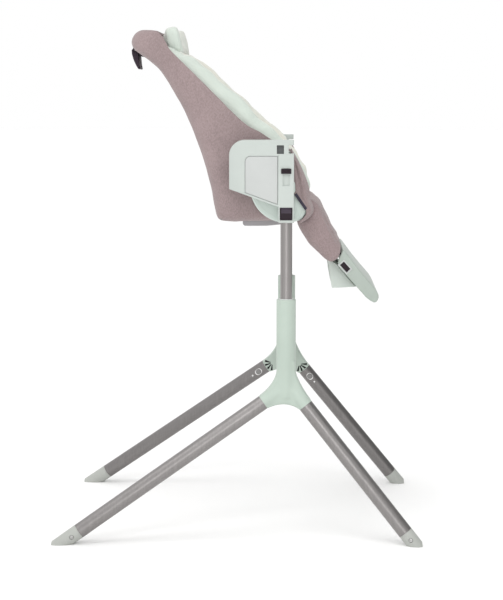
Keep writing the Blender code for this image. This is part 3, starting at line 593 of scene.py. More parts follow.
for side_name, side in SIDES.items():
    for end in ENDS:
        upper, lower = axis_of(f"leg_tube_{end}_{side_name}")
        along = (lower - upper).normalized()
        low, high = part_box(f"foot_cap_{end}_{side_name}")
        reach = 1 if end == "front" else -1
        tip = high.x if reach > 0 else low.x
        cap = bar(f"foot_plug_{end}_{side_name}", lower + along * play, lower + along * 0.12,
                  leg_radius, 64)
        trim(cap, (0, 0, 0.0), (0, 0, -1))
        trim(cap, (tip, 0, 0), (reach, 0, 0))
        soften(cap, 0.0012, 4)
        inner, outer = sorted(axis_of(f"foot_screw_{end}_{side_name}"), key=lambda point: abs(point.y))
        way = (outer - inner).normalized()
        carve(cap, bar("screw_hole", inner, outer + way * 0.01, screw_radius + 0.0005, 32))
        fit(cap, "base_frame", "foot_plastic", foot_grey, f"foot_cap_{end}_{side_name}")
        screw = bar(f"screw_{end}_{side_name}", inner + way * 0.0002, outer - way * 0.0006,
                    screw_radius, 32)
        soften(screw, 0.0006)
        for angle in (0, pi / 2):
            turn = way.to_track_quat("Z", "Y").to_matrix() @ Matrix.Rotation(angle, 3, "Z")
            bpy.ops.mesh.primitive_cube_add(size=1, location=outer, rotation=turn.to_euler())
            bpy.context.object.scale = cross_size
            carve(screw, settle("cross"))
        fit(screw, "base_frame", "steel", screw_steel, f"foot_screw_{end}_{side_name}")

# Cross bar --------------------------------------------------------------------------------------
# One 25 mm aluminium tube joins the two hubs, so that they stand upright together.
bar_ends = axis_of("cross_bar")
bar_low, bar_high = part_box("cross_bar")
cross_tube = pipe("cross_bar_drawn", *bar_ends, (bar_high.z - bar_low.z) / 2, 0.002)
fit(cross_tube, "base_frame", "aluminium_tube", aluminium("anodised_cross", (0, 1, 0)), "cross_bar")

# Post bushes and inner posts --------------------------------------------------------------------
# The posts are thinner tubes that slide in the columns on acetal bushes. A row of holes down the
# inner face takes the locking pin at each height.
post_radius, post_wall = 0.0118, 0.0015
hole_pitch, hole_radius, hole_top = 0.035, 0.0032, 0.63
for side_name, side in SIDES.items():
    low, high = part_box(f"post_bush_{side_name}")
    middle = (low + high) / 2
    bush_ends = [Vector((middle.x, middle.y, z)) for z in (low.z, high.z)]
    bush = bar(f"bush_{side_name}", *bush_ends, (high.x - low.x) / 2, 64)
    soften(bush, 0.0006)
    beyond = Vector((0, 0, 0.01))
    carve(bush, bar("bore", bush_ends[0] - beyond, bush_ends[1] + beyond, post_radius + 0.0004, 64))
    fit(bush, "base_frame", "pale_plastic", button_white, f"post_bush_{side_name}")
    top, foot = axis_of(f"inner_post_{side_name}")
    post = pipe(f"post_{side_name}", foot, top, post_radius, post_wall)
    for step in range(5):
        hole = foot + Vector((0, 0, 0.02 + step * hole_pitch))
        if hole.z < hole_top:
            carve(post, bar("pin_hole", hole, hole - Vector((0, side * 0.02, 0)), hole_radius, 20))
    fit(post, "seat_carriage", "aluminium_tube", aluminium(f"anodised_post_{side_name}", (0, 0, 1)),
        f"inner_post_{side_name}")

# Carriers, covers and their controls ------------------------------------------------------------
# Each carrier is a hollow ABS housing that clamps the top of a post and carries the seat's pivot. A
# grooved cover closes its face, a T rail on top takes a tray, and two black controls sit in front.
carrier_mint = plastic("carrier_abs", (0.475, 0.515, 0.488), 0.38)
cover_pale = plastic("cover_abs", (0.490, 0.507, 0.497), 0.38)
black_abs = plastic("black_abs", (0.022, 0.014, 0.019), 0.42, shine=0.15)
smoked_abs = plastic("smoked_abs", (0.043, 0.031, 0.046), 0.36, shine=0.22)
# Dark grey painted shade for the walls of the recess under the T rail, which are the carrier's own
# plastic.
painted_rail_shade = plastic("painted_rail_shade", (0.16, 0.17, 0.17), 0.6)
corner_radius = 0.030
column_width = 0.031
rail_thickness, rail_lip, neck_bottom = 0.010, 0.0105, 0.7815
wing_rear, wing_front = 0.712, 0.6765
carrier_wall = 0.004
cover_margin, cover_seat, cover_gap, cover_rise = 0.031, 0.0032, 0.0010, 0.004
line_half = 0.0003
slider_travel = 0.0240
key_play = 0.0004
pin_x, pin_z = 0.0975, 0.713

for side_name, side in SIDES.items():
    low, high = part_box(f"carrier_{side_name}")
    post_low, post_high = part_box(f"inner_post_{side_name}")
    slider_low, slider_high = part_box(f"tilt_slider_{side_name}")
    button_low, button_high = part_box(f"height_button_{side_name}")
    inner, outer = sorted((low.y, high.y), key=abs)
    column_rear = high.x - column_width
    notch_rear = high.x - rail_lip
    rail_bottom = high.z - rail_thickness

    def wing_edge(x):
        """Height of the slanted lower edge at x."""
        return wing_rear + (wing_front - wing_rear) * (x - low.x) / (column_rear - low.x)

    def cover_outline(inset):
        """The inset cover, this far inside its seat."""
        rear, front = low.x + cover_margin + inset, column_rear - 0.001 - inset
        top, radius = high.z - cover_margin - inset, 0.011 - inset
        rise = cover_rise + inset
        return [(rear, wing_edge(rear) + rise), *arc((rear + radius, top - radius), radius, 180, 90),
                (front, top), (front, wing_edge(front) + rise)]

    outline = [(low.x, wing_rear),
               *arc((low.x + corner_radius, high.z - corner_radius), corner_radius, 180, 90, 14),
               (high.x, high.z), (high.x, rail_bottom), (notch_rear, rail_bottom),
               (notch_rear, neck_bottom), (high.x, neck_bottom), (high.x, low.z),
               (column_rear, low.z), (column_rear, wing_front)]
    carrier = slab(f"carrier_housing_{side_name}", outline, inner, outer)
    soften(carrier, 0.0013)
    rear, front = low.x + carrier_wall, column_rear - carrier_wall
    top = high.z - carrier_wall
    pocket = [(rear, wing_edge(rear) + carrier_wall), (rear, high.z - corner_radius),
              (low.x + corner_radius, top), (front - 0.006, top), (front - 0.006, neck_bottom - 0.006),
              (front, neck_bottom - 0.012), (front, wing_edge(front) + carrier_wall)]
    middle_x = (slider_low.x + slider_high.x) / 2
    slot_half = (slider_high.x - slider_low.x) / 2 - 0.0031
    button_half = (button_high.x - button_low.x) / 2 + key_play
    post_x, post_y = (post_low.x + post_high.x) / 2, (post_low.y + post_high.y) / 2
    beyond = outer + side * 0.005
    carve(carrier,
          slab("column_line", oblong(column_rear - line_half, column_rear + line_half,
                                     wing_front + 0.012, neck_bottom - 0.002),
               outer - side * 0.0007, outer + side * 0.002),
          slab("pocket", pocket, inner - side * 0.005, outer - side * 0.0065),
          slab("cover_seat", cover_outline(0), outer - side * cover_seat, beyond),
          bar("post_bore", (post_x, post_y, low.z - 0.01), (post_x, post_y, post_high.z + 0.002),
              post_radius + play),
          slab("track", oblong(middle_x - slot_half, middle_x + slot_half,
                               slider_low.z - slider_travel, slider_high.z + key_play),
               outer - side * 0.003, beyond),
          slab("button_seat", oblong(middle_x - button_half, middle_x + button_half,
                                     button_low.z - key_play, button_high.z + key_play),
               outer - side * 0.0085, beyond),
          bar("pin_bore", (pin_x, inner - side * 0.005, pin_z), (pin_x, inner + side * 0.011, pin_z),
              0.0073))
    coat(carrier, carrier_mint)
    recess = slab("rail_recess", oblong(column_rear - 0.003, notch_rear - 0.0095, neck_bottom,
                                        rail_bottom), outer - side * 0.010, beyond)
    # The recess walls take the painted shade.
    coat(recess, painted_rail_shade)
    carve(carrier, recess)
    fit(carrier, "seat_carriage", "mint_plastic", None, f"carrier_{side_name}")

    cover = slab(f"carrier_face_{side_name}", cover_outline(cover_gap),
                 outer - side * (cover_seat - 0.0003), outer + side * 0.0006)
    soften(cover, 0.0007)
    fit(cover, "seat_carriage", "pale_plastic", cover_pale, f"carrier_cover_{side_name}")

    def slider_outline(inset_x, inset_z):
        return oblong(slider_low.x + inset_x, slider_high.x - inset_x,
                      slider_low.z + inset_z, slider_high.z - inset_z)

    slider = slab(f"slider_{side_name}", slider_outline(0, 0), outer + side * 0.0003,
                  outer + side * 0.004)
    soften(slider, 0.0011, 4)
    carve(slider, slab("dish", slider_outline(0.004, 0.0032), outer + side * 0.0030,
                       outer + side * 0.006))
    carve(slider, slab("stem", slider_outline(0.0036, 0.0005), outer - side * 0.0026,
                       outer + side * 0.001), way="UNION")
    fit(slider, f"tilt_slider_{side_name}", "black_plastic", black_abs, f"tilt_slider_{side_name}")

    button = slab(f"height_key_{side_name}",
                  oblong(button_low.x, button_high.x, button_low.z, button_high.z),
                  outer - side * 0.0046, outer + side * 0.0015)
    soften(button, 0.0009)
    scoop_y, scoop_z = outer + side * 0.0105, button_low.z + 0.020
    scoop = bar("scoop", (button_low.x + 0.002, scoop_y, scoop_z),
                (button_high.x - 0.002, scoop_y, scoop_z), 0.0110, 48)
    button.data.materials.append(black_abs.material)
    scoop.data.materials.append(smoked_abs.material)
    carve(button, scoop)
    fit(button, f"height_button_{side_name}", "black_plastic", None, f"height_button_{side_name}")
    coat(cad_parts[f"hinge_pin_{side_name}"], screw_steel)

# Hinge discs ------------------------------------------------------------------------------------
# Round ABS plates bolted to the sides of the seat pan. Each turns on its carrier's pin, and its rim
# is rolled so that it never catches the fabric.
disc_radius, disc_inner, disc_outer = 0.072, 0.188, 0.206
boss_radius, boss_reach = 0.020, (0.1646, 0.2112)
disc_front = [(0.1290, 0.6470), (0.1375, 0.6600), (0.1403, 0.6780), (0.1395, 0.6980), (0.1355, 0.7220),
              (0.1285, 0.7460), (0.1180, 0.7680)]
disc_mint = plastic("disc_abs", (0.590, 0.665, 0.620), 0.38)


def along_line(points, share):
    """The point at a share of the way through a smooth line, counted in its own steps."""
    points = [Vector(p) for p in points]
    step = min(max(share, 0.0), 0.99999) * (len(points) - 1)
    i, t = int(step), step - int(step)
    b, c = points[i], points[i + 1]
    a = points[i - 1] if i else 2 * b - c
    d = points[i + 2] if i + 2 < len(points) else 2 * c - b
    return 0.5 * (2 * b + (c - a) * t + (2 * a - 5 * b + 4 * c - d) * t ** 2
                  + (3 * b - a - 3 * c + d) * t ** 3)


def disc_outline(inset):
    """The round plate with its drawn-in front, this far inside its edge."""
    middle = Vector((pin_x, pin_z))
    spans = len(disc_front) - 1
    front = [along_line(disc_front, (step + share) / spans)
             for step in range(spans) for share in (0, 0.33, 0.67)]
    front = [tuple(p + (middle - p).normalized() * inset) for p in front + [Vector(disc_front[-1])]]
    return arc((pin_x, pin_z), disc_radius - inset, 80, 282, 64) + front


for side_name, side in SIDES.items():
    def pivot(y):
        return pin_x, side * y, pin_z

    disc = slab(f"hinge_plate_{side_name}", disc_outline(0.0), side * disc_inner, side * disc_outer)
    soften(disc, 0.0042, 5)
    groove = slab("groove", disc_outline(0.0095), side * (disc_outer - 0.0006),
                  side * (disc_outer + 0.01))
    carve(groove, slab("core", disc_outline(0.0107), side * (disc_outer - 0.01),
                       side * (disc_outer + 0.02)))
    carve(disc, groove)
    carve(disc, bar("boss_in", pivot(boss_reach[0]), pivot(disc_inner + 0.004), boss_radius, 64),
          bar("boss_out", pivot(disc_outer - 0.004), pivot(boss_reach[1]), boss_radius, 64), way="UNION")
    carve(disc, bar("bore", pivot(0.16), pivot(0.222), 0.0074))
    fit(disc, "seat", "mint_plastic", disc_mint, f"hinge_disc_{side_name}")

# Seat pan, under plate and hinge rods -----------------------------------------------------------
# The pan is a ribbed nylon tray that the cover wraps. The flat plate under it is screwed on over the
# tilt gear, and steel rods pass through the pan for the backrest and the leg rest.
pan_grey = plastic("pan_nylon", (0.24, 0.235, 0.24), 0.5)
plate_grey = plastic("plate_nylon", (0.360, 0.350, 0.362), 0.36)
for node, finish in (("seat_pan", pan_grey), ("back_shell", pan_grey), ("leg_rest_board", pan_grey),
                     ("back_hinge_rod", screw_steel), ("knee_hinge_rod", screw_steel)):
    coat(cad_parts[node], finish)

low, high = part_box("under_plate")
plate_corner, rib_pitch, rib_half = 0.0068, 0.012, 0.07
plate_outline = [(low.x + 0.012, low.z + 0.0008), (low.x + 0.05, low.z + 0.0012),
                 (high.x, low.z + 0.0045), (high.x, high.z), (low.x + 0.0005, high.z),
                 *arc((low.x + plate_corner, low.z + 0.0075), plate_corner, 160, 250, 5)]
under = slab("tilt_gear_plate", plate_outline, low.y, high.y)
soften(under, 0.0022, 4)
for screw_y in (-0.1, 0.1):
    for screw_x in (low.x + 0.02, high.x - 0.014):
        carve(under, bar("screw_recess", (screw_x, screw_y, low.z - 0.01),
                         (screw_x, screw_y, low.z + 0.005), 0.0048, 32))
for rib in range(5):
    x = low.x + 0.022 + rib * rib_pitch
    carve(under, slab("rib_gap", oblong(x, x + 0.003, low.z - 0.004, low.z + 0.0035),
                      -rib_half, rib_half))
fit(under, "seat", "grey_plastic", plate_grey, "under_plate")


# Fabric cover -----------------------------------------------------------------------------------
# One padded cover of heathered mauve cloth wraps the seat pan and the backrest: both sides, the back
# and the turned-in rim. It is cut from three panels, sewn along the sides of the back.
def cloth(name, columns, rows, place):
    """A sheet whose points lie where place(across, down) says, with both from 0 to 1."""
    bpy.ops.mesh.primitive_grid_add(x_subdivisions=columns, y_subdivisions=rows, size=1)
    sheet = settle(name)
    for vertex in sheet.data.vertices:
        vertex.co = place(vertex.co.x + 0.5, vertex.co.y + 0.5)
    return turn_out(sheet)


def look(sheet, towards):
    """Turns a sheet over if its faces look away from where towards(face) is positive."""
    if sum(towards(face) for face in sheet.data.polygons) <= 0:
        pick(sheet)
        bpy.ops.object.mode_set(mode="EDIT")
        bpy.ops.mesh.select_all(action="SELECT")
        bpy.ops.mesh.flip_normals()
        bpy.ops.object.mode_set(mode="OBJECT")


def limit(value):
    """The value, kept between 0 and 1."""
    return min(1.0, max(0.0, value))


def heather(name, colour, fleck=0.16, pitch=0.0011, sheen=0.25):
    """Woven melange cloth: two thread colours, a plain weave and soft wear where it is handled."""
    finish = Finish(name, {"Sheen Weight": sheen, "Sheen Roughness": 0.45, "Specular IOR Level": 0.25})
    x, y, z = finish.axes()
    weave = ((x + y) * (tau / pitch)).sine() * (z * (tau / pitch)).sine()
    fibres = finish.cloud(1.0, 4.0, finish.turned((0, 0.5, 0), (420.0, 900.0, 260.0)))
    patches = finish.cloud(14.0, 5.0, roughness=0.6)
    tone = fibres * 0.7 + patches * 0.3
    worn = finish.tint(tone.steps(0.34, 0.66), shade(colour, 1 - fleck), shade(colour, 1 + fleck))
    finish.set("Base Color", finish.tint(weave.steps(-1.0, 1.0) * 0.25, worn, shade(colour, 0.72)))
    finish.set("Roughness", patches.steps(0.3, 0.7) * 0.08 + 0.84)
    finish.relief(weave * 0.5 + fibres * 0.8, 0.00022)
    return finish


mauve = heather("mauve_heather", (0.330, 0.256, 0.256))
cover_rows = [((-0.163, 1.0255), (-0.150, 1.0125)), ((-0.180, 1.0275), (-0.147, 1.006)),
              ((-0.198, 1.0265), (-0.143, 0.999)), ((-0.211, 1.0180), (-0.139, 0.992)),
              ((-0.2165, 1.0040), (-0.134, 0.985)), ((-0.211, 0.9895), (-0.126, 0.977)),
              ((-0.196, 0.9775), (-0.117, 0.968)), ((-0.176, 0.9630), (-0.106, 0.957)),
              ((-0.156, 0.9440), (-0.092, 0.943)), ((-0.136, 0.9130), (-0.072, 0.923)),
              ((-0.121, 0.8870), (-0.052, 0.903)), ((-0.101, 0.8470), (-0.026, 0.877)),
              ((-0.079, 0.7900), (0.000, 0.852)), ((-0.065, 0.7460), (0.022, 0.834)),
              ((-0.055, 0.7060), (0.046, 0.822)), ((-0.048, 0.6680), (0.075, 0.803)),
              ((-0.042, 0.6480), (0.106, 0.787)), ((-0.030, 0.6410), (0.127, 0.750)),
              ((-0.006, 0.6400), (0.142, 0.714)), ((0.030, 0.6410), (0.144, 0.694)),
              ((0.070, 0.6425), (0.139, 0.676)), ((0.100, 0.6440), (0.128, 0.659))]
rear_line = [pair[0] for pair in cover_rows]
front_line = [pair[1] for pair in cover_rows]
side_y = 0.1835
padding, back_share = 0.018, 0.22
side_share, turn_share = 0.52, 0.72


def cover_place(across, down):
    """The cover's skin: its side, the rounded rear corner and half of its back, on each side."""
    rear, front = along_line(rear_line, down), along_line(front_line, down)
    side = -1 if across < 0.5 else 1
    share = 1 - abs(across - 0.5) * 2
    half = side_y - 0.008 * max(0.0, 1 - down / 0.35) ** 1.5
    corner = min(0.034 + 0.016 * max(0.0, 1 - down / 0.3), (rear - front).length * 0.45)
    inwards = (front - rear).normalized()
    if share < side_share:
        point = front.lerp(rear + inwards * corner, share / side_share)
        folds = noise.noise(Vector((point.x * 16 + point.y * 16, side * 3.1,
                                    (point.y - point.x) * 5.5)))
        sag = noise.noise(Vector((point.x * 7, side * 1.7 + 9, point.y * 7)))
        y = half + folds * 0.0011 + sag * 0.0010
    elif share < turn_share:
        angle = (share - side_share) / (turn_share - side_share) * pi / 2
        point = rear + inwards * corner * (1 - sin(angle))
        y = half - corner * (1 - cos(angle))
    else:
        point = rear
        y = (half - corner) * (1 - (share - turn_share) / (1 - turn_share))
    return point.x, side * y, point.y


def push(piece, reach):
    """Moves each point of a piece along its normal by reach(place, normal)."""
    points = [(vertex, vertex.co.copy(), vertex.normal.copy()) for vertex in piece.data.vertices]
    for vertex, place, normal in points:
        vertex.co = place + normal * reach(place, normal)


def crumple(piece, amount, grain, seed, stretch=(1, 1, 1)):
    """Moves the points of a piece in and out by soft noise."""
    def reach(place, normal):
        spot = Vector([place[i] * grain * stretch[i] for i in range(3)]) + Vector((seed, 0, 0))
        return noise.noise(spot) * amount

    push(piece, reach)


cover = cloth("seat_cover", 72, 96, cover_place)
plate_low, plate_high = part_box("under_plate")
pick(cover)
bpy.ops.object.mode_set(mode="EDIT")
bpy.ops.mesh.select_all(action="DESELECT")
bpy.ops.object.mode_set(mode="OBJECT")
for face in cover.data.polygons:
    middle = face.center
    face.select = (abs(middle.y) < plate_high.y + 0.006 and middle.x > plate_low.x - 0.012
                   and middle.z < 0.66)
bpy.ops.object.mode_set(mode="EDIT")
bpy.ops.mesh.delete(type="FACE")
bpy.ops.object.mode_set(mode="OBJECT")
look(cover, lambda face: face.normal.y * face.center.y)
padded_side = cover.vertex_groups.new(name="padded_side")
for vertex in cover.data.vertices:
    padded_side.add([vertex.index], limit((abs(vertex.co.y) - 0.150) / 0.022), "REPLACE")
work(cover, "SOLIDIFY", thickness=padding, offset=-1, use_even_offset=False, vertex_group="padded_side",
     thickness_vertex_group=back_share)
cover.vertex_groups.clear()
soften(cover, 0.0055, 3, 60)
work(cover, "SUBSURF", levels=1, render_levels=1)
crumple(cover, 0.0007, 60, 4.0, (1.0, 1.0, 0.5))
fit(cover, None, "mauve_fabric", mauve, "side_panel_right", "side_panel_left", "back_wing_right",
    "back_wing_left", angle=60)
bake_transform(cover)

# Head roll --------------------------------------------------------------------------------------
# The top of the cover is stuffed with a foam roll, which closes it over the shell behind the head.
roll_outline = [(-0.196, 1.006), (-0.188, 1.017), (-0.172, 1.021), (-0.157, 1.016), (-0.150, 1.004),
                (-0.149, 0.990), (-0.152, 0.976), (-0.158, 0.968), (-0.170, 0.972), (-0.184, 0.984)]
roll_half = 0.163
head_roll = slab("head_roll", roll_outline, -roll_half, roll_half)
work(head_roll, "REMESH", mode="VOXEL", voxel_size=0.004, use_smooth_shade=True)
work(head_roll, "SMOOTH", factor=0.5, iterations=8)
work(head_roll, "SUBSURF", levels=1, render_levels=1)
crumple(head_roll, 0.0012, 45, 2.0)
fit(head_roll, "backrest", "mauve_fabric", mauve, angle=70)

# Quilted liner ----------------------------------------------------------------------------------
# A removable quilt of mint knit over wadding lines the back and the seat. Thick bolsters run down both
# sides, channels are stitched across it, and its outer edge is gathered into the cover's rim.
def puff(piece, cap, pressure=4.0, step=0.005, frames=20):
    """Fills a soft piece by cloth simulation, moving no point further than the cap."""
    work(piece, "REMESH", mode="VOXEL", voxel_size=step, use_smooth_shade=True)
    before = [vertex.co.copy() for vertex in piece.data.vertices]
    blown = pick(piece).modifiers.new("wadding", "CLOTH")
    blown.settings.use_pressure = True
    blown.settings.uniform_pressure_force = pressure
    blown.settings.effector_weights.gravity = 0
    blown.settings.quality = 4
    for frame_number in range(1, frames + 1):
        bpy.context.scene.frame_set(frame_number)
    bpy.ops.object.modifier_apply(modifier=blown.name)
    bpy.context.scene.frame_set(1)
    for vertex, start in zip(piece.data.vertices, before):
        move = vertex.co - start
        if move.length > cap:
            vertex.co = start + move * (cap / move.length)
    return piece


def knit(name, outside, inside, from_y, to_y):
    """Fine warp knit over wadding: mint on the outer faces, and towards the middle of the seat a cream
    that is painted light, the glow of light through the knit.
    """
    finish = Finish(name, {"Sheen Weight": 0.35, "Sheen Roughness": 0.5, "Specular IOR Level": 0.2})
    x, y, z = finish.axes()
    ribs = ((x * 0.6 + z) * (tau / 0.0021)).sine() * ((x - z) * (tau / 0.0034) + y * (tau / 0.004)).sine()
    lint = finish.cloud(900.0, 3.0)
    wash = finish.cloud(17.0, 5.0, roughness=0.6)
    # Painted light: the inward faces blend from mint to the cream glow.
    painted_glow_blend = finish.tint(y.size().steps(from_y, to_y), inside, outside)
    soft = finish.tint(wash.steps(0.36, 0.68) * 0.35, painted_glow_blend, shade(outside, 0.93))
    finish.set("Base Color", finish.tint(ribs.steps(-1, 1) * 0.12 + lint.steps(0.4, 0.7) * 0.06, soft,
                                         shade(inside, 0.80)))
    finish.set("Roughness", wash.steps(0.3, 0.7) * 0.06 + 0.86)
    finish.relief(ribs * 0.6 + lint * 0.5, 0.00025)
    return finish


# The cream is painted light on the liner's inward faces.
quilt_knit = knit("mint_knit", (0.610, 0.680, 0.618), (0.740, 0.735, 0.655), 0.143, 0.155)
liner_rows = [((-0.120, 0.989), (-0.142, 0.996)), ((-0.103, 0.9785), (-0.129, 0.972)),
              ((-0.077, 0.962), (-0.112, 0.945)), ((-0.037, 0.926), (-0.0835, 0.895)),
              ((0.004, 0.891), (-0.0580, 0.842)), ((0.044, 0.853), (-0.0370, 0.786)),
              ((0.083, 0.818), (-0.0200, 0.740)), ((0.107, 0.792), (0.0000, 0.711)),
              ((0.128, 0.762), (0.028, 0.7020)), ((0.144, 0.730), (0.062, 0.7010)),
              ((0.1485, 0.711), (0.095, 0.7025)), ((0.144, 0.697), (0.126, 0.6945))]
crest_line = [pair[0] for pair in liner_rows]
middle_line = [pair[1] for pair in liner_rows]
liner_profile = [(0.0, 0.0), (0.030, 0.0), (0.060, 0.01), (0.090, 0.06), (0.112, 0.26), (0.128, 0.66),
                 (0.140, 0.94), (0.150, 1.0), (0.1590, 1.0), (0.1650, 1.0), (0.1665, 1.0)]
edge_tuck = [(0, 0)] * 8 + [(0.004, 0), (0.020, 0), (0.042, 0)]
channel_count = 14
liner_padding = 0.014


def liner_point(across, down, lift=0.0):
    """Where the face of the liner is; across goes from the middle, 0, to its outer edge, 1."""
    crest, middle = along_line(crest_line, down), along_line(middle_line, down)
    rise = crest - middle
    y, share = along_line(liner_profile, across)
    tuck = along_line(edge_tuck, across).x
    point = middle + rise * share - rise.normalized() * tuck
    slope = along_line(middle_line, down + 0.01) - along_line(middle_line, down - 0.01)
    front = Vector((-slope.y, slope.x)).normalized()
    front = front if front.x + front.y > 0 else -front
    fold = abs(sin(pi * down * channel_count)) ** 0.45 - 0.75
    quilted = 0.0055 * fold * max(0.0, 1 - (y / 0.118) ** 6)
    return point + front * (quilted + lift), y


def liner_place(across, down):
    """The liner from one outer edge to the other, a little wavy."""
    side = -1 if across < 0.5 else 1
    point, y = liner_point(abs(across - 0.5) * 2, 0.004 + 0.992 * down)
    waves = noise.noise(Vector((down * 17, side * 2.0, 1.3)))
    return point.x + waves * 0.002, side * y, point.y + waves * 0.002


liner = cloth("quilted_liner", 84, 150, liner_place)
look(liner, lambda face: face.normal.x + face.normal.z)
work(liner, "SOLIDIFY", thickness=liner_padding, offset=-1, use_even_offset=False)
puff(liner, 0.0055, 3.0, 0.0045, 12)
gather_pitch, stitch_pitch, stitch_half = 0.0052, 0.034, 0.0060


def gathers(place, normal):
    """Small puckers along the lower half of the outer edge."""
    x, y, z = place
    run = (x - z) * 0.7
    edge = limit((abs(y) - 0.146) / 0.010) * limit((0.90 - z) / 0.05)
    drift = noise.noise(Vector((run * 60, y * 40, 0.0)))
    return 0.0008 * edge * sin(tau * run / gather_pitch + 2.5 * drift)


def stitches(place, normal):
    """The sewn lines between the channels, across the middle of the quilt."""
    run = (0.88 * place.z - 0.48 * place.x) / stitch_pitch
    away = abs(run - round(run)) * stitch_pitch
    return -0.0030 * max(0.0, 1 - away / stitch_half) ** 2 * limit((0.128 - abs(place.y)) / 0.020)


push(liner, gathers)
push(liner, stitches)
crumple(liner, 0.0016, 34, 7.0)
work(liner, "SUBSURF", levels=1, render_levels=1)
fit(liner, None, "liner_fabric", quilt_knit, "liner_back", "seat_pad", angle=80)
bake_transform(liner)

# Head support -----------------------------------------------------------------------------------
# A U-shaped cushion of the same knit sits at the top of the liner. Its two ears stand up and forward
# on both sides of the head, and are piped where their faces meet.
ear_outline = [(0.000, 0.016), (0.045, 0.018), (0.068, 0.026), (0.088, 0.037), (0.108, 0.042),
               (0.126, 0.040), (0.137, 0.029), (0.141, 0.006), (0.139, -0.014), (0.126, -0.028),
               (0.090, -0.032), (0.062, -0.026), (0.040, -0.028), (0.000, -0.032)]
ear_outline = ear_outline + [(-y, z) for y, z in ear_outline[-2:0:-1]]
head_lean = Vector((-0.22, 0.975))
head_front = Vector((0.975, 0.22))
head_middle = Vector((-0.1600, 0.988))
ear_wrap, ear_reach = 0.020, 0.115
head_pad = slab("head_support", ear_outline, 0.0, 0.026)
work(head_pad, "REMESH", mode="VOXEL", voxel_size=0.0045, use_smooth_shade=True)
for vertex in head_pad.data.vertices:
    y, out, up = vertex.co
    wrap = ear_wrap * min(1.0, abs(y) / ear_reach) ** 2.2
    spot = head_middle + head_lean * up + head_front * (out + wrap)
    vertex.co = (spot.x, y, spot.y)
turn_out(head_pad)
work(head_pad, "SMOOTH", factor=0.5, iterations=4)
puff(head_pad, 0.0095, 5.0, 0.0042, 16)
crumple(head_pad, 0.0018, 42, 11.0)
work(head_pad, "SUBSURF", levels=1, render_levels=1)
# The cream is painted light on the inward faces of the ears.
head_knit = knit("head_knit", (0.610, 0.680, 0.618), (0.690, 0.700, 0.640), 0.110, 0.134)
fit(head_pad, "backrest", "liner_fabric", head_knit, "head_pad", angle=80)

# Harness ----------------------------------------------------------------------------------------
# Flat 25 mm polyester webbing: two shoulder straps lie down the liner, and a crotch strap comes up
# through the seat. They meet at a moulded buckle with a press button.
def webbing(name, colour):
    """Woven tape: close ribs across it, a firmer edge, and worn fluff."""
    finish = Finish(name, {"Sheen Weight": 0.2, "Specular IOR Level": 0.3})
    x, y, z = finish.axes()
    ribs = (z * (tau / 0.0016) + x * (tau / 0.0016)).sine()
    ends = (y * (tau / 0.0011)).sine()
    fluff = finish.cloud(160.0, 4.0)
    finish.set("Base Color", finish.tint(ribs.steps(-1, 1) * 0.3 + fluff.steps(0.4, 0.7) * 0.3,
                                         shade(colour, 1.1), shade(colour, 0.7)))
    finish.set("Roughness", fluff * 0.15 + 0.66)
    finish.relief(ribs * 0.6 + ends * 0.4, 0.0002)
    return finish


grey_web = webbing("grey_webbing", (0.235, 0.230, 0.240))
web_thickness = 0.0015
strap_inner, strap_outer = 0.045, 0.070
strap_steps = 60


def tape(name, columns, rows, place, thickness=web_thickness):
    """A closed strip of webbing with soft edges."""
    strip = cloth(name, columns, rows, place)
    work(strip, "SOLIDIFY", thickness=thickness, offset=0)
    return soften(strip, thickness * 0.35, 2, 50)


for side_name, side in SIDES.items():
    def strap_place(across, down):
        """Down the liner, and a little off it."""
        width = strap_inner + (strap_outer - strap_inner) * across
        share = 0.26 + 0.33 * down
        point, y = liner_point(width / 0.150 * 0.78, share, 0.0085)
        return point.x, side * width, point.y

    strap = tape(f"shoulder_webbing_{side_name}", 5, strap_steps, strap_place)
    lie = [Vector(strap_place(0.5, i / strap_steps)) for i in range(strap_steps + 1)]
    fit(strap, "backrest", "webbing", grey_web, f"shoulder_strap_{side_name}")

crotch_low, crotch_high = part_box("crotch_strap")
buckle_low, buckle_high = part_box("buckle")
strap_x = (crotch_low.x + crotch_high.x) / 2


def crotch_place(across, down):
    """Up through the seat, slightly bowed."""
    z = crotch_low.z + 0.002 + (crotch_high.z - crotch_low.z - 0.004) * down
    return strap_x + 0.0022 * sin(pi * down), (across - 0.5) * (crotch_high.y - crotch_low.y), z


crotch = tape("crotch_webbing", 5, 14, crotch_place)
fit(crotch, "seat", "webbing", grey_web, "crotch_strap")

buckle_half = buckle_high.y
buckle_edge = [(0.72, 0.0), (0.80, 0.016), (1.0, 0.022), (1.0, 0.037), (0.7, 0.043)]
buckle_edge = [(share * buckle_half, up) for share, up in buckle_edge]
buckle_outline = [(-y, up) for y, up in buckle_edge[:1]] + buckle_edge
buckle_outline += [(-y, up) for y, up in buckle_edge[:0:-1]]
buckle_depth, press_radius, press_up = 0.0065, 0.0086, 0.0205
buckle = slab("buckle_body", buckle_outline, -buckle_depth, buckle_depth)
soften(buckle, 0.0018, 3)
carve(buckle, bar("recess", (0, -0.0120, press_up), (0, -0.0052, press_up), press_radius + 0.0006, 48))
press = bar("press", (0, -0.0058, press_up), (0, 0.004, press_up), press_radius, 48)
soften(press, 0.0007)
coat(buckle, black_abs)
coat(press, plastic("press_button", (0.30, 0.305, 0.31), 0.4))
carve(buckle, press, way="UNION")
for vertex in buckle.data.vertices:
    y, out, up = vertex.co
    vertex.co = (strap_x - out, y, buckle_low.z + up)
turn_out(buckle)
fit(buckle, "seat", "black_plastic", None, "buckle")

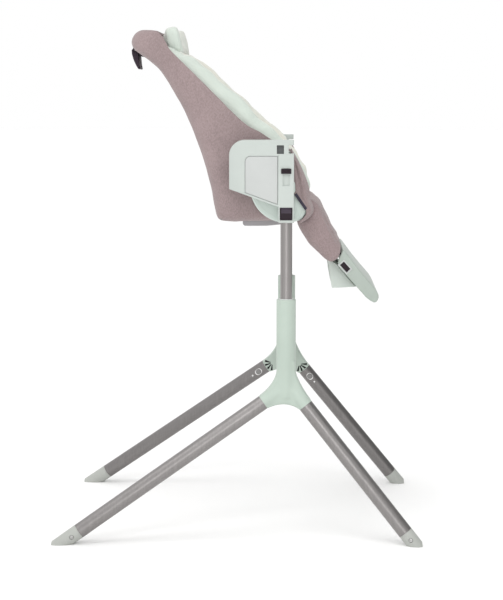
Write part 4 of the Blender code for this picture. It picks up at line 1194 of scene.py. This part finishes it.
# Recline lever ----------------------------------------------------------------------------------
# A curved trigger of black ABS hangs behind the head on a steel pin. Squeezing it frees the recline.
# It has a ribbed inner face for the fingers, and its bracket is screwed to the shell.
lever_low, lever_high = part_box("recline_lever")
pin_low, pin_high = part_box("lever_pin")
pin_x, pin_z = (pin_low.x + pin_high.x) / 2, (pin_low.z + pin_high.z) / 2
lever_outline = [(pin_x - 0.0040, pin_z + 0.0045), (pin_x + 0.0010, pin_z + 0.0056),
                 (pin_x + 0.0050, pin_z + 0.0026), (-0.2122, 0.984), (-0.2114, 0.972),
                 (-0.2104, 0.961), (-0.2088, 0.952), (-0.2100, 0.9500), (-0.2122, 0.9510),
                 (-0.2170, 0.959), (-0.2215, 0.969), (-0.2250, 0.981), (-0.2258, 0.990)]
lever = slab("squeeze_lever", lever_outline, lever_low.y, lever_high.y)
soften(lever, 0.0016, 4)
carve(lever, bar("pin_bore", (pin_x, -0.1, pin_z), (pin_x, 0.1, pin_z), 0.0027, 32))
rib_outline = [(-0.2098, 0.956), (-0.2080, 0.956), (-0.2080, 0.978), (-0.2118, 0.978)]
rib_pitch, rib_half = 0.008, 0.0011
carve(lever, *[slab("rib", rib_outline, rib * rib_pitch - rib_half, rib * rib_pitch + rib_half)
               for rib in range(-4, 5)])
lever_plum = plastic("lever_abs", (0.036, 0.024, 0.036), 0.46, shine=0.22)
fit(lever, "recline_lever", "black_plastic", lever_plum, "recline_lever")
coat(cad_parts["lever_bracket"], black_abs)
coat(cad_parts["lever_pin"], screw_steel)

# Calf rest --------------------------------------------------------------------------------------
# A foam pad in the mauve cloth, which carries on from the seat cover over the knee. It is creased at
# the knee, and a pocket's stitched edge shows near the front.
calf_outline = [(0.118, 0.650), (0.121, 0.664), (0.129, 0.683), (0.140, 0.6905), (0.153, 0.6865),
                (0.163, 0.677), (0.170, 0.664), (0.182, 0.638), (0.193, 0.614), (0.2010, 0.600),
                (0.2130, 0.5830), (0.2090, 0.5700), (0.2010, 0.5600), (0.190, 0.5555),
                (0.167, 0.5760), (0.148, 0.5965), (0.133, 0.6175), (0.123, 0.636)]
calf_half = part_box("leg_rest_pad")[1].y + 0.012
calf = slab("calf_cushion", calf_outline, -calf_half, calf_half)
work(calf, "REMESH", mode="VOXEL", voxel_size=0.0042, use_smooth_shade=True)
work(calf, "SMOOTH", factor=0.5, iterations=3)
puff(calf, 0.0032, 4.0, 0.0042, 14)
crease_start, crease_end = Vector((0.128, 0.640)), Vector((0.156, 0.667))
crease_way = (crease_end - crease_start).normalized()
pocket_line = [(0.176, 0.648), (0.183, 0.634), (0.186, 0.622), (0.193, 0.617), (0.199, 0.616)]


def knee_crease(place, normal):
    """A fold that runs up from the underside at the knee."""
    spot = Vector((place.x, place.z)) - crease_start
    away = abs(spot.x * crease_way.y - spot.y * crease_way.x)
    along = spot.dot(crease_way) / (crease_end - crease_start).length
    return -0.0030 * max(0.0, 1 - abs(along - 0.5) * 1.6) * max(0.0, 1 - away / 0.005) ** 2


def pocket_seam(place, normal):
    """The stitched edge of the pocket, on the pad's sides."""
    spot, reach = Vector((place.x, place.z)), 0.0
    for start, end in zip(pocket_line, pocket_line[1:]):
        start, end = Vector(start), Vector(end)
        share = limit((spot - start).dot(end - start) / (end - start).length_squared)
        reach = max(reach, 1 - (spot - start.lerp(end, share)).length / 0.0022)
    return -0.0016 * reach if abs(normal.y) > 0.4 else 0.0


push(calf, knee_crease)
crumple(calf, 0.0016, 40, 5.0, (1.0, 0.6, 1.0))
work(calf, "SUBSURF", levels=1, render_levels=1)
push(calf, pocket_seam)
fit(calf, None, "mauve_fabric", mauve, "leg_rest_pad", angle=80)
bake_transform(calf)

# Front of the cover -----------------------------------------------------------------------------
# The loose front corners of the cover hang in deep folds beside the pan, and a short dark tie of
# webbing holds each one down to the leg rest.
corner_rear = [(0.106, 0.786), (0.109, 0.760), (0.111, 0.735), (0.1125, 0.712), (0.1150, 0.698),
               (0.1265, 0.683), (0.1380, 0.668), (0.1365, 0.655), (0.1240, 0.643)]
corner_front = [(0.1075, 0.790), (0.122, 0.764), (0.133, 0.740), (0.142, 0.716), (0.1450, 0.699),
                (0.1480, 0.684), (0.1530, 0.668), (0.1500, 0.653), (0.1330, 0.638)]
corner_y = 0.2090
tie_upper, tie_lower, tie_width = Vector((0.1165, 0.700)), Vector((0.138, 0.669)), 0.006
tie_web = webbing("tie_webbing", (0.045, 0.038, 0.060))
for side_name, side in SIDES.items():
    def corner_place(across, down):
        """Beside the pan, turned in at the front and pleated where nothing holds it."""
        spot = along_line(corner_rear, down).lerp(along_line(corner_front, down), across)
        turn_in = max(0.0, (across - 0.55 + 0.4 * down ** 3) / 0.45) ** 2
        wrap = corner_y - (0.012 + 0.026 * down ** 3) * turn_in
        loose = limit((spot.x - 0.1125) / 0.006) * sin(pi * across) ** 0.6 * (1 - 0.7 * down)
        pleat = 0.0030 * (sin(tau * (across * 1.6 + 0.35 * down) - 0.4) + 0.45) * loose
        return spot.x, side * (wrap + pleat), spot.y

    corner = cloth(f"cover_corner_{side_name}", 28, 40, corner_place)
    work(corner, "SOLIDIFY", thickness=0.0022, offset=0)
    fit(corner, "seat", "mauve_fabric", mauve, angle=80)

    def tie_place(across, down):
        """Over the corner, from inside the carrier to its lower front."""
        spot = tie_upper.lerp(tie_lower, down)
        wide = (across - 0.5) * tie_width
        y = corner_y + 0.0023 + 0.0009 * min(1.0, down * 3) - 0.001 * down
        return spot.x + wide * 0.8, side * y, spot.y + wide * 0.58

    tie = tape(f"cover_tie_{side_name}", 4, 14, tie_place, 0.0012)
    fit(tie, "seat", "webbing", tie_web)

# Footrest ---------------------------------------------------------------------------------------
# The footrest is a shallow ABS tray that slides down on a hollow bracket, which is screwed to the leg
# rest. Two dark catches in pale frames lock it, one on each side.
footrest_mint = plastic("footrest_abs", (0.375, 0.425, 0.383), 0.40)
bracket_mint = plastic("bracket_abs", (0.585, 0.640, 0.595), 0.45)
low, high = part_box("footrest_panel")
foot_half = high.y
slide = Vector((0.66625, -0.74572))
across_slide = Vector((0.74572, 0.66625))
foot_outline = [(0.2050, 0.5625), (0.2125, 0.5790), (0.2168, 0.5815), (0.2225, 0.5745),
                (0.2421, 0.5480), (0.2600, 0.5262), (0.2712, 0.5136), (0.2792, 0.5042),
                (0.2846, 0.4962), (0.2876, 0.4898), (0.2880, 0.4840), (0.2858, 0.4775),
                (0.2815, 0.4738), (0.2765, 0.4745), (0.2700, 0.4782), (0.262, 0.4845),
                (0.229, 0.5215), (0.2035, 0.550)]
tray = slab("footrest_tray", foot_outline, -foot_half, foot_half)
soften(tray, 0.0028, 4, 28)
trough = [(0.196, 0.5705), (0.212, 0.5745), (0.2172, 0.5755), (0.2202, 0.5725), (0.2398, 0.5460),
          (0.2577, 0.5250), (0.2700, 0.5130), (0.2795, 0.5030), (0.2845, 0.4930), (0.2850, 0.4860),
          (0.2780, 0.4700), (0.264, 0.474), (0.225, 0.515), (0.196, 0.550)]
shell_wall = 0.003
tread_half, tread_pitch, tread_start = 0.115, 0.011, Vector((0.2235, 0.5742)) + slide * 0.0095
carve(tray, slab("trough", trough, -foot_half + shell_wall, foot_half - shell_wall))
treads = []
for tread in range(6):
    centre = tread_start + slide * tread_pitch * tread
    treads.append(bar("tread", (centre.x, -tread_half, centre.y), (centre.x, tread_half, centre.y),
                      0.0013, 16))
carve(tray, *treads)
catch_along, catch_across = 0.0100, 0.0052
for side_name, side in SIDES.items():
    low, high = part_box(f"footrest_button_{side_name}")
    centre = Vector(((low.x + high.x) / 2, (low.z + high.z) / 2))

    def catch_block(name, grow, inner, outer):
        """A block over the catch, from inside the tray's side to outside it."""
        along, across = slide * (catch_along + grow), across_slide * (catch_across + grow)
        corners = (-along - across, along - across, along + across, -along + across)
        return slab(name, [tuple(centre + corner) for corner in corners],
                    side * (foot_half + inner), side * (foot_half + outer))

    carve(tray, catch_block("catch_pocket", play, -0.0110, 0.005))
    key = catch_block(f"footrest_catch_{side_name}", -0.0002, -0.0075, 0.0020)
    soften(key, 0.0010)
    fit(key, f"footrest_button_{side_name}", "black_plastic", black_abs, f"footrest_button_{side_name}")
    rim = catch_block(f"catch_frame_{side_name}", 0.0032, -0.0004, 0.0012)
    soften(rim, 0.0006)
    carve(rim, catch_block("window", play, -0.01, 0.01))
    fit(rim, "footrest", "pale_plastic", cover_pale)

fit(tray, "footrest", "mint_plastic", footrest_mint, "footrest_panel", angle=30)

bracket_half, window_half = 0.118, 0.095
bracket_outline = [(0.1865, 0.5605), (0.1868, 0.5400), (0.1888, 0.5230), (0.1930, 0.4998),
                   (0.243, 0.5022), (0.2330, 0.5128), (0.2020, 0.5500)]
bracket = slab("bracket_shell", bracket_outline, -bracket_half, bracket_half)
soften(bracket, 0.0016, 3, 30)
inner_room = [(0.1900, 0.5450), (0.1915, 0.5240), (0.1955, 0.5028), (0.2370, 0.5046),
              (0.2300, 0.5128), (0.2000, 0.5480)]
carve(bracket, slab("room", inner_room, -bracket_half + shell_wall, bracket_half - shell_wall),
      slab("rear_window", oblong(0.180, 0.1925, 0.512, 0.545), -window_half, window_half))
fit(bracket, "leg_rest", "mint_plastic", bracket_mint, "footrest_bracket", angle=30)
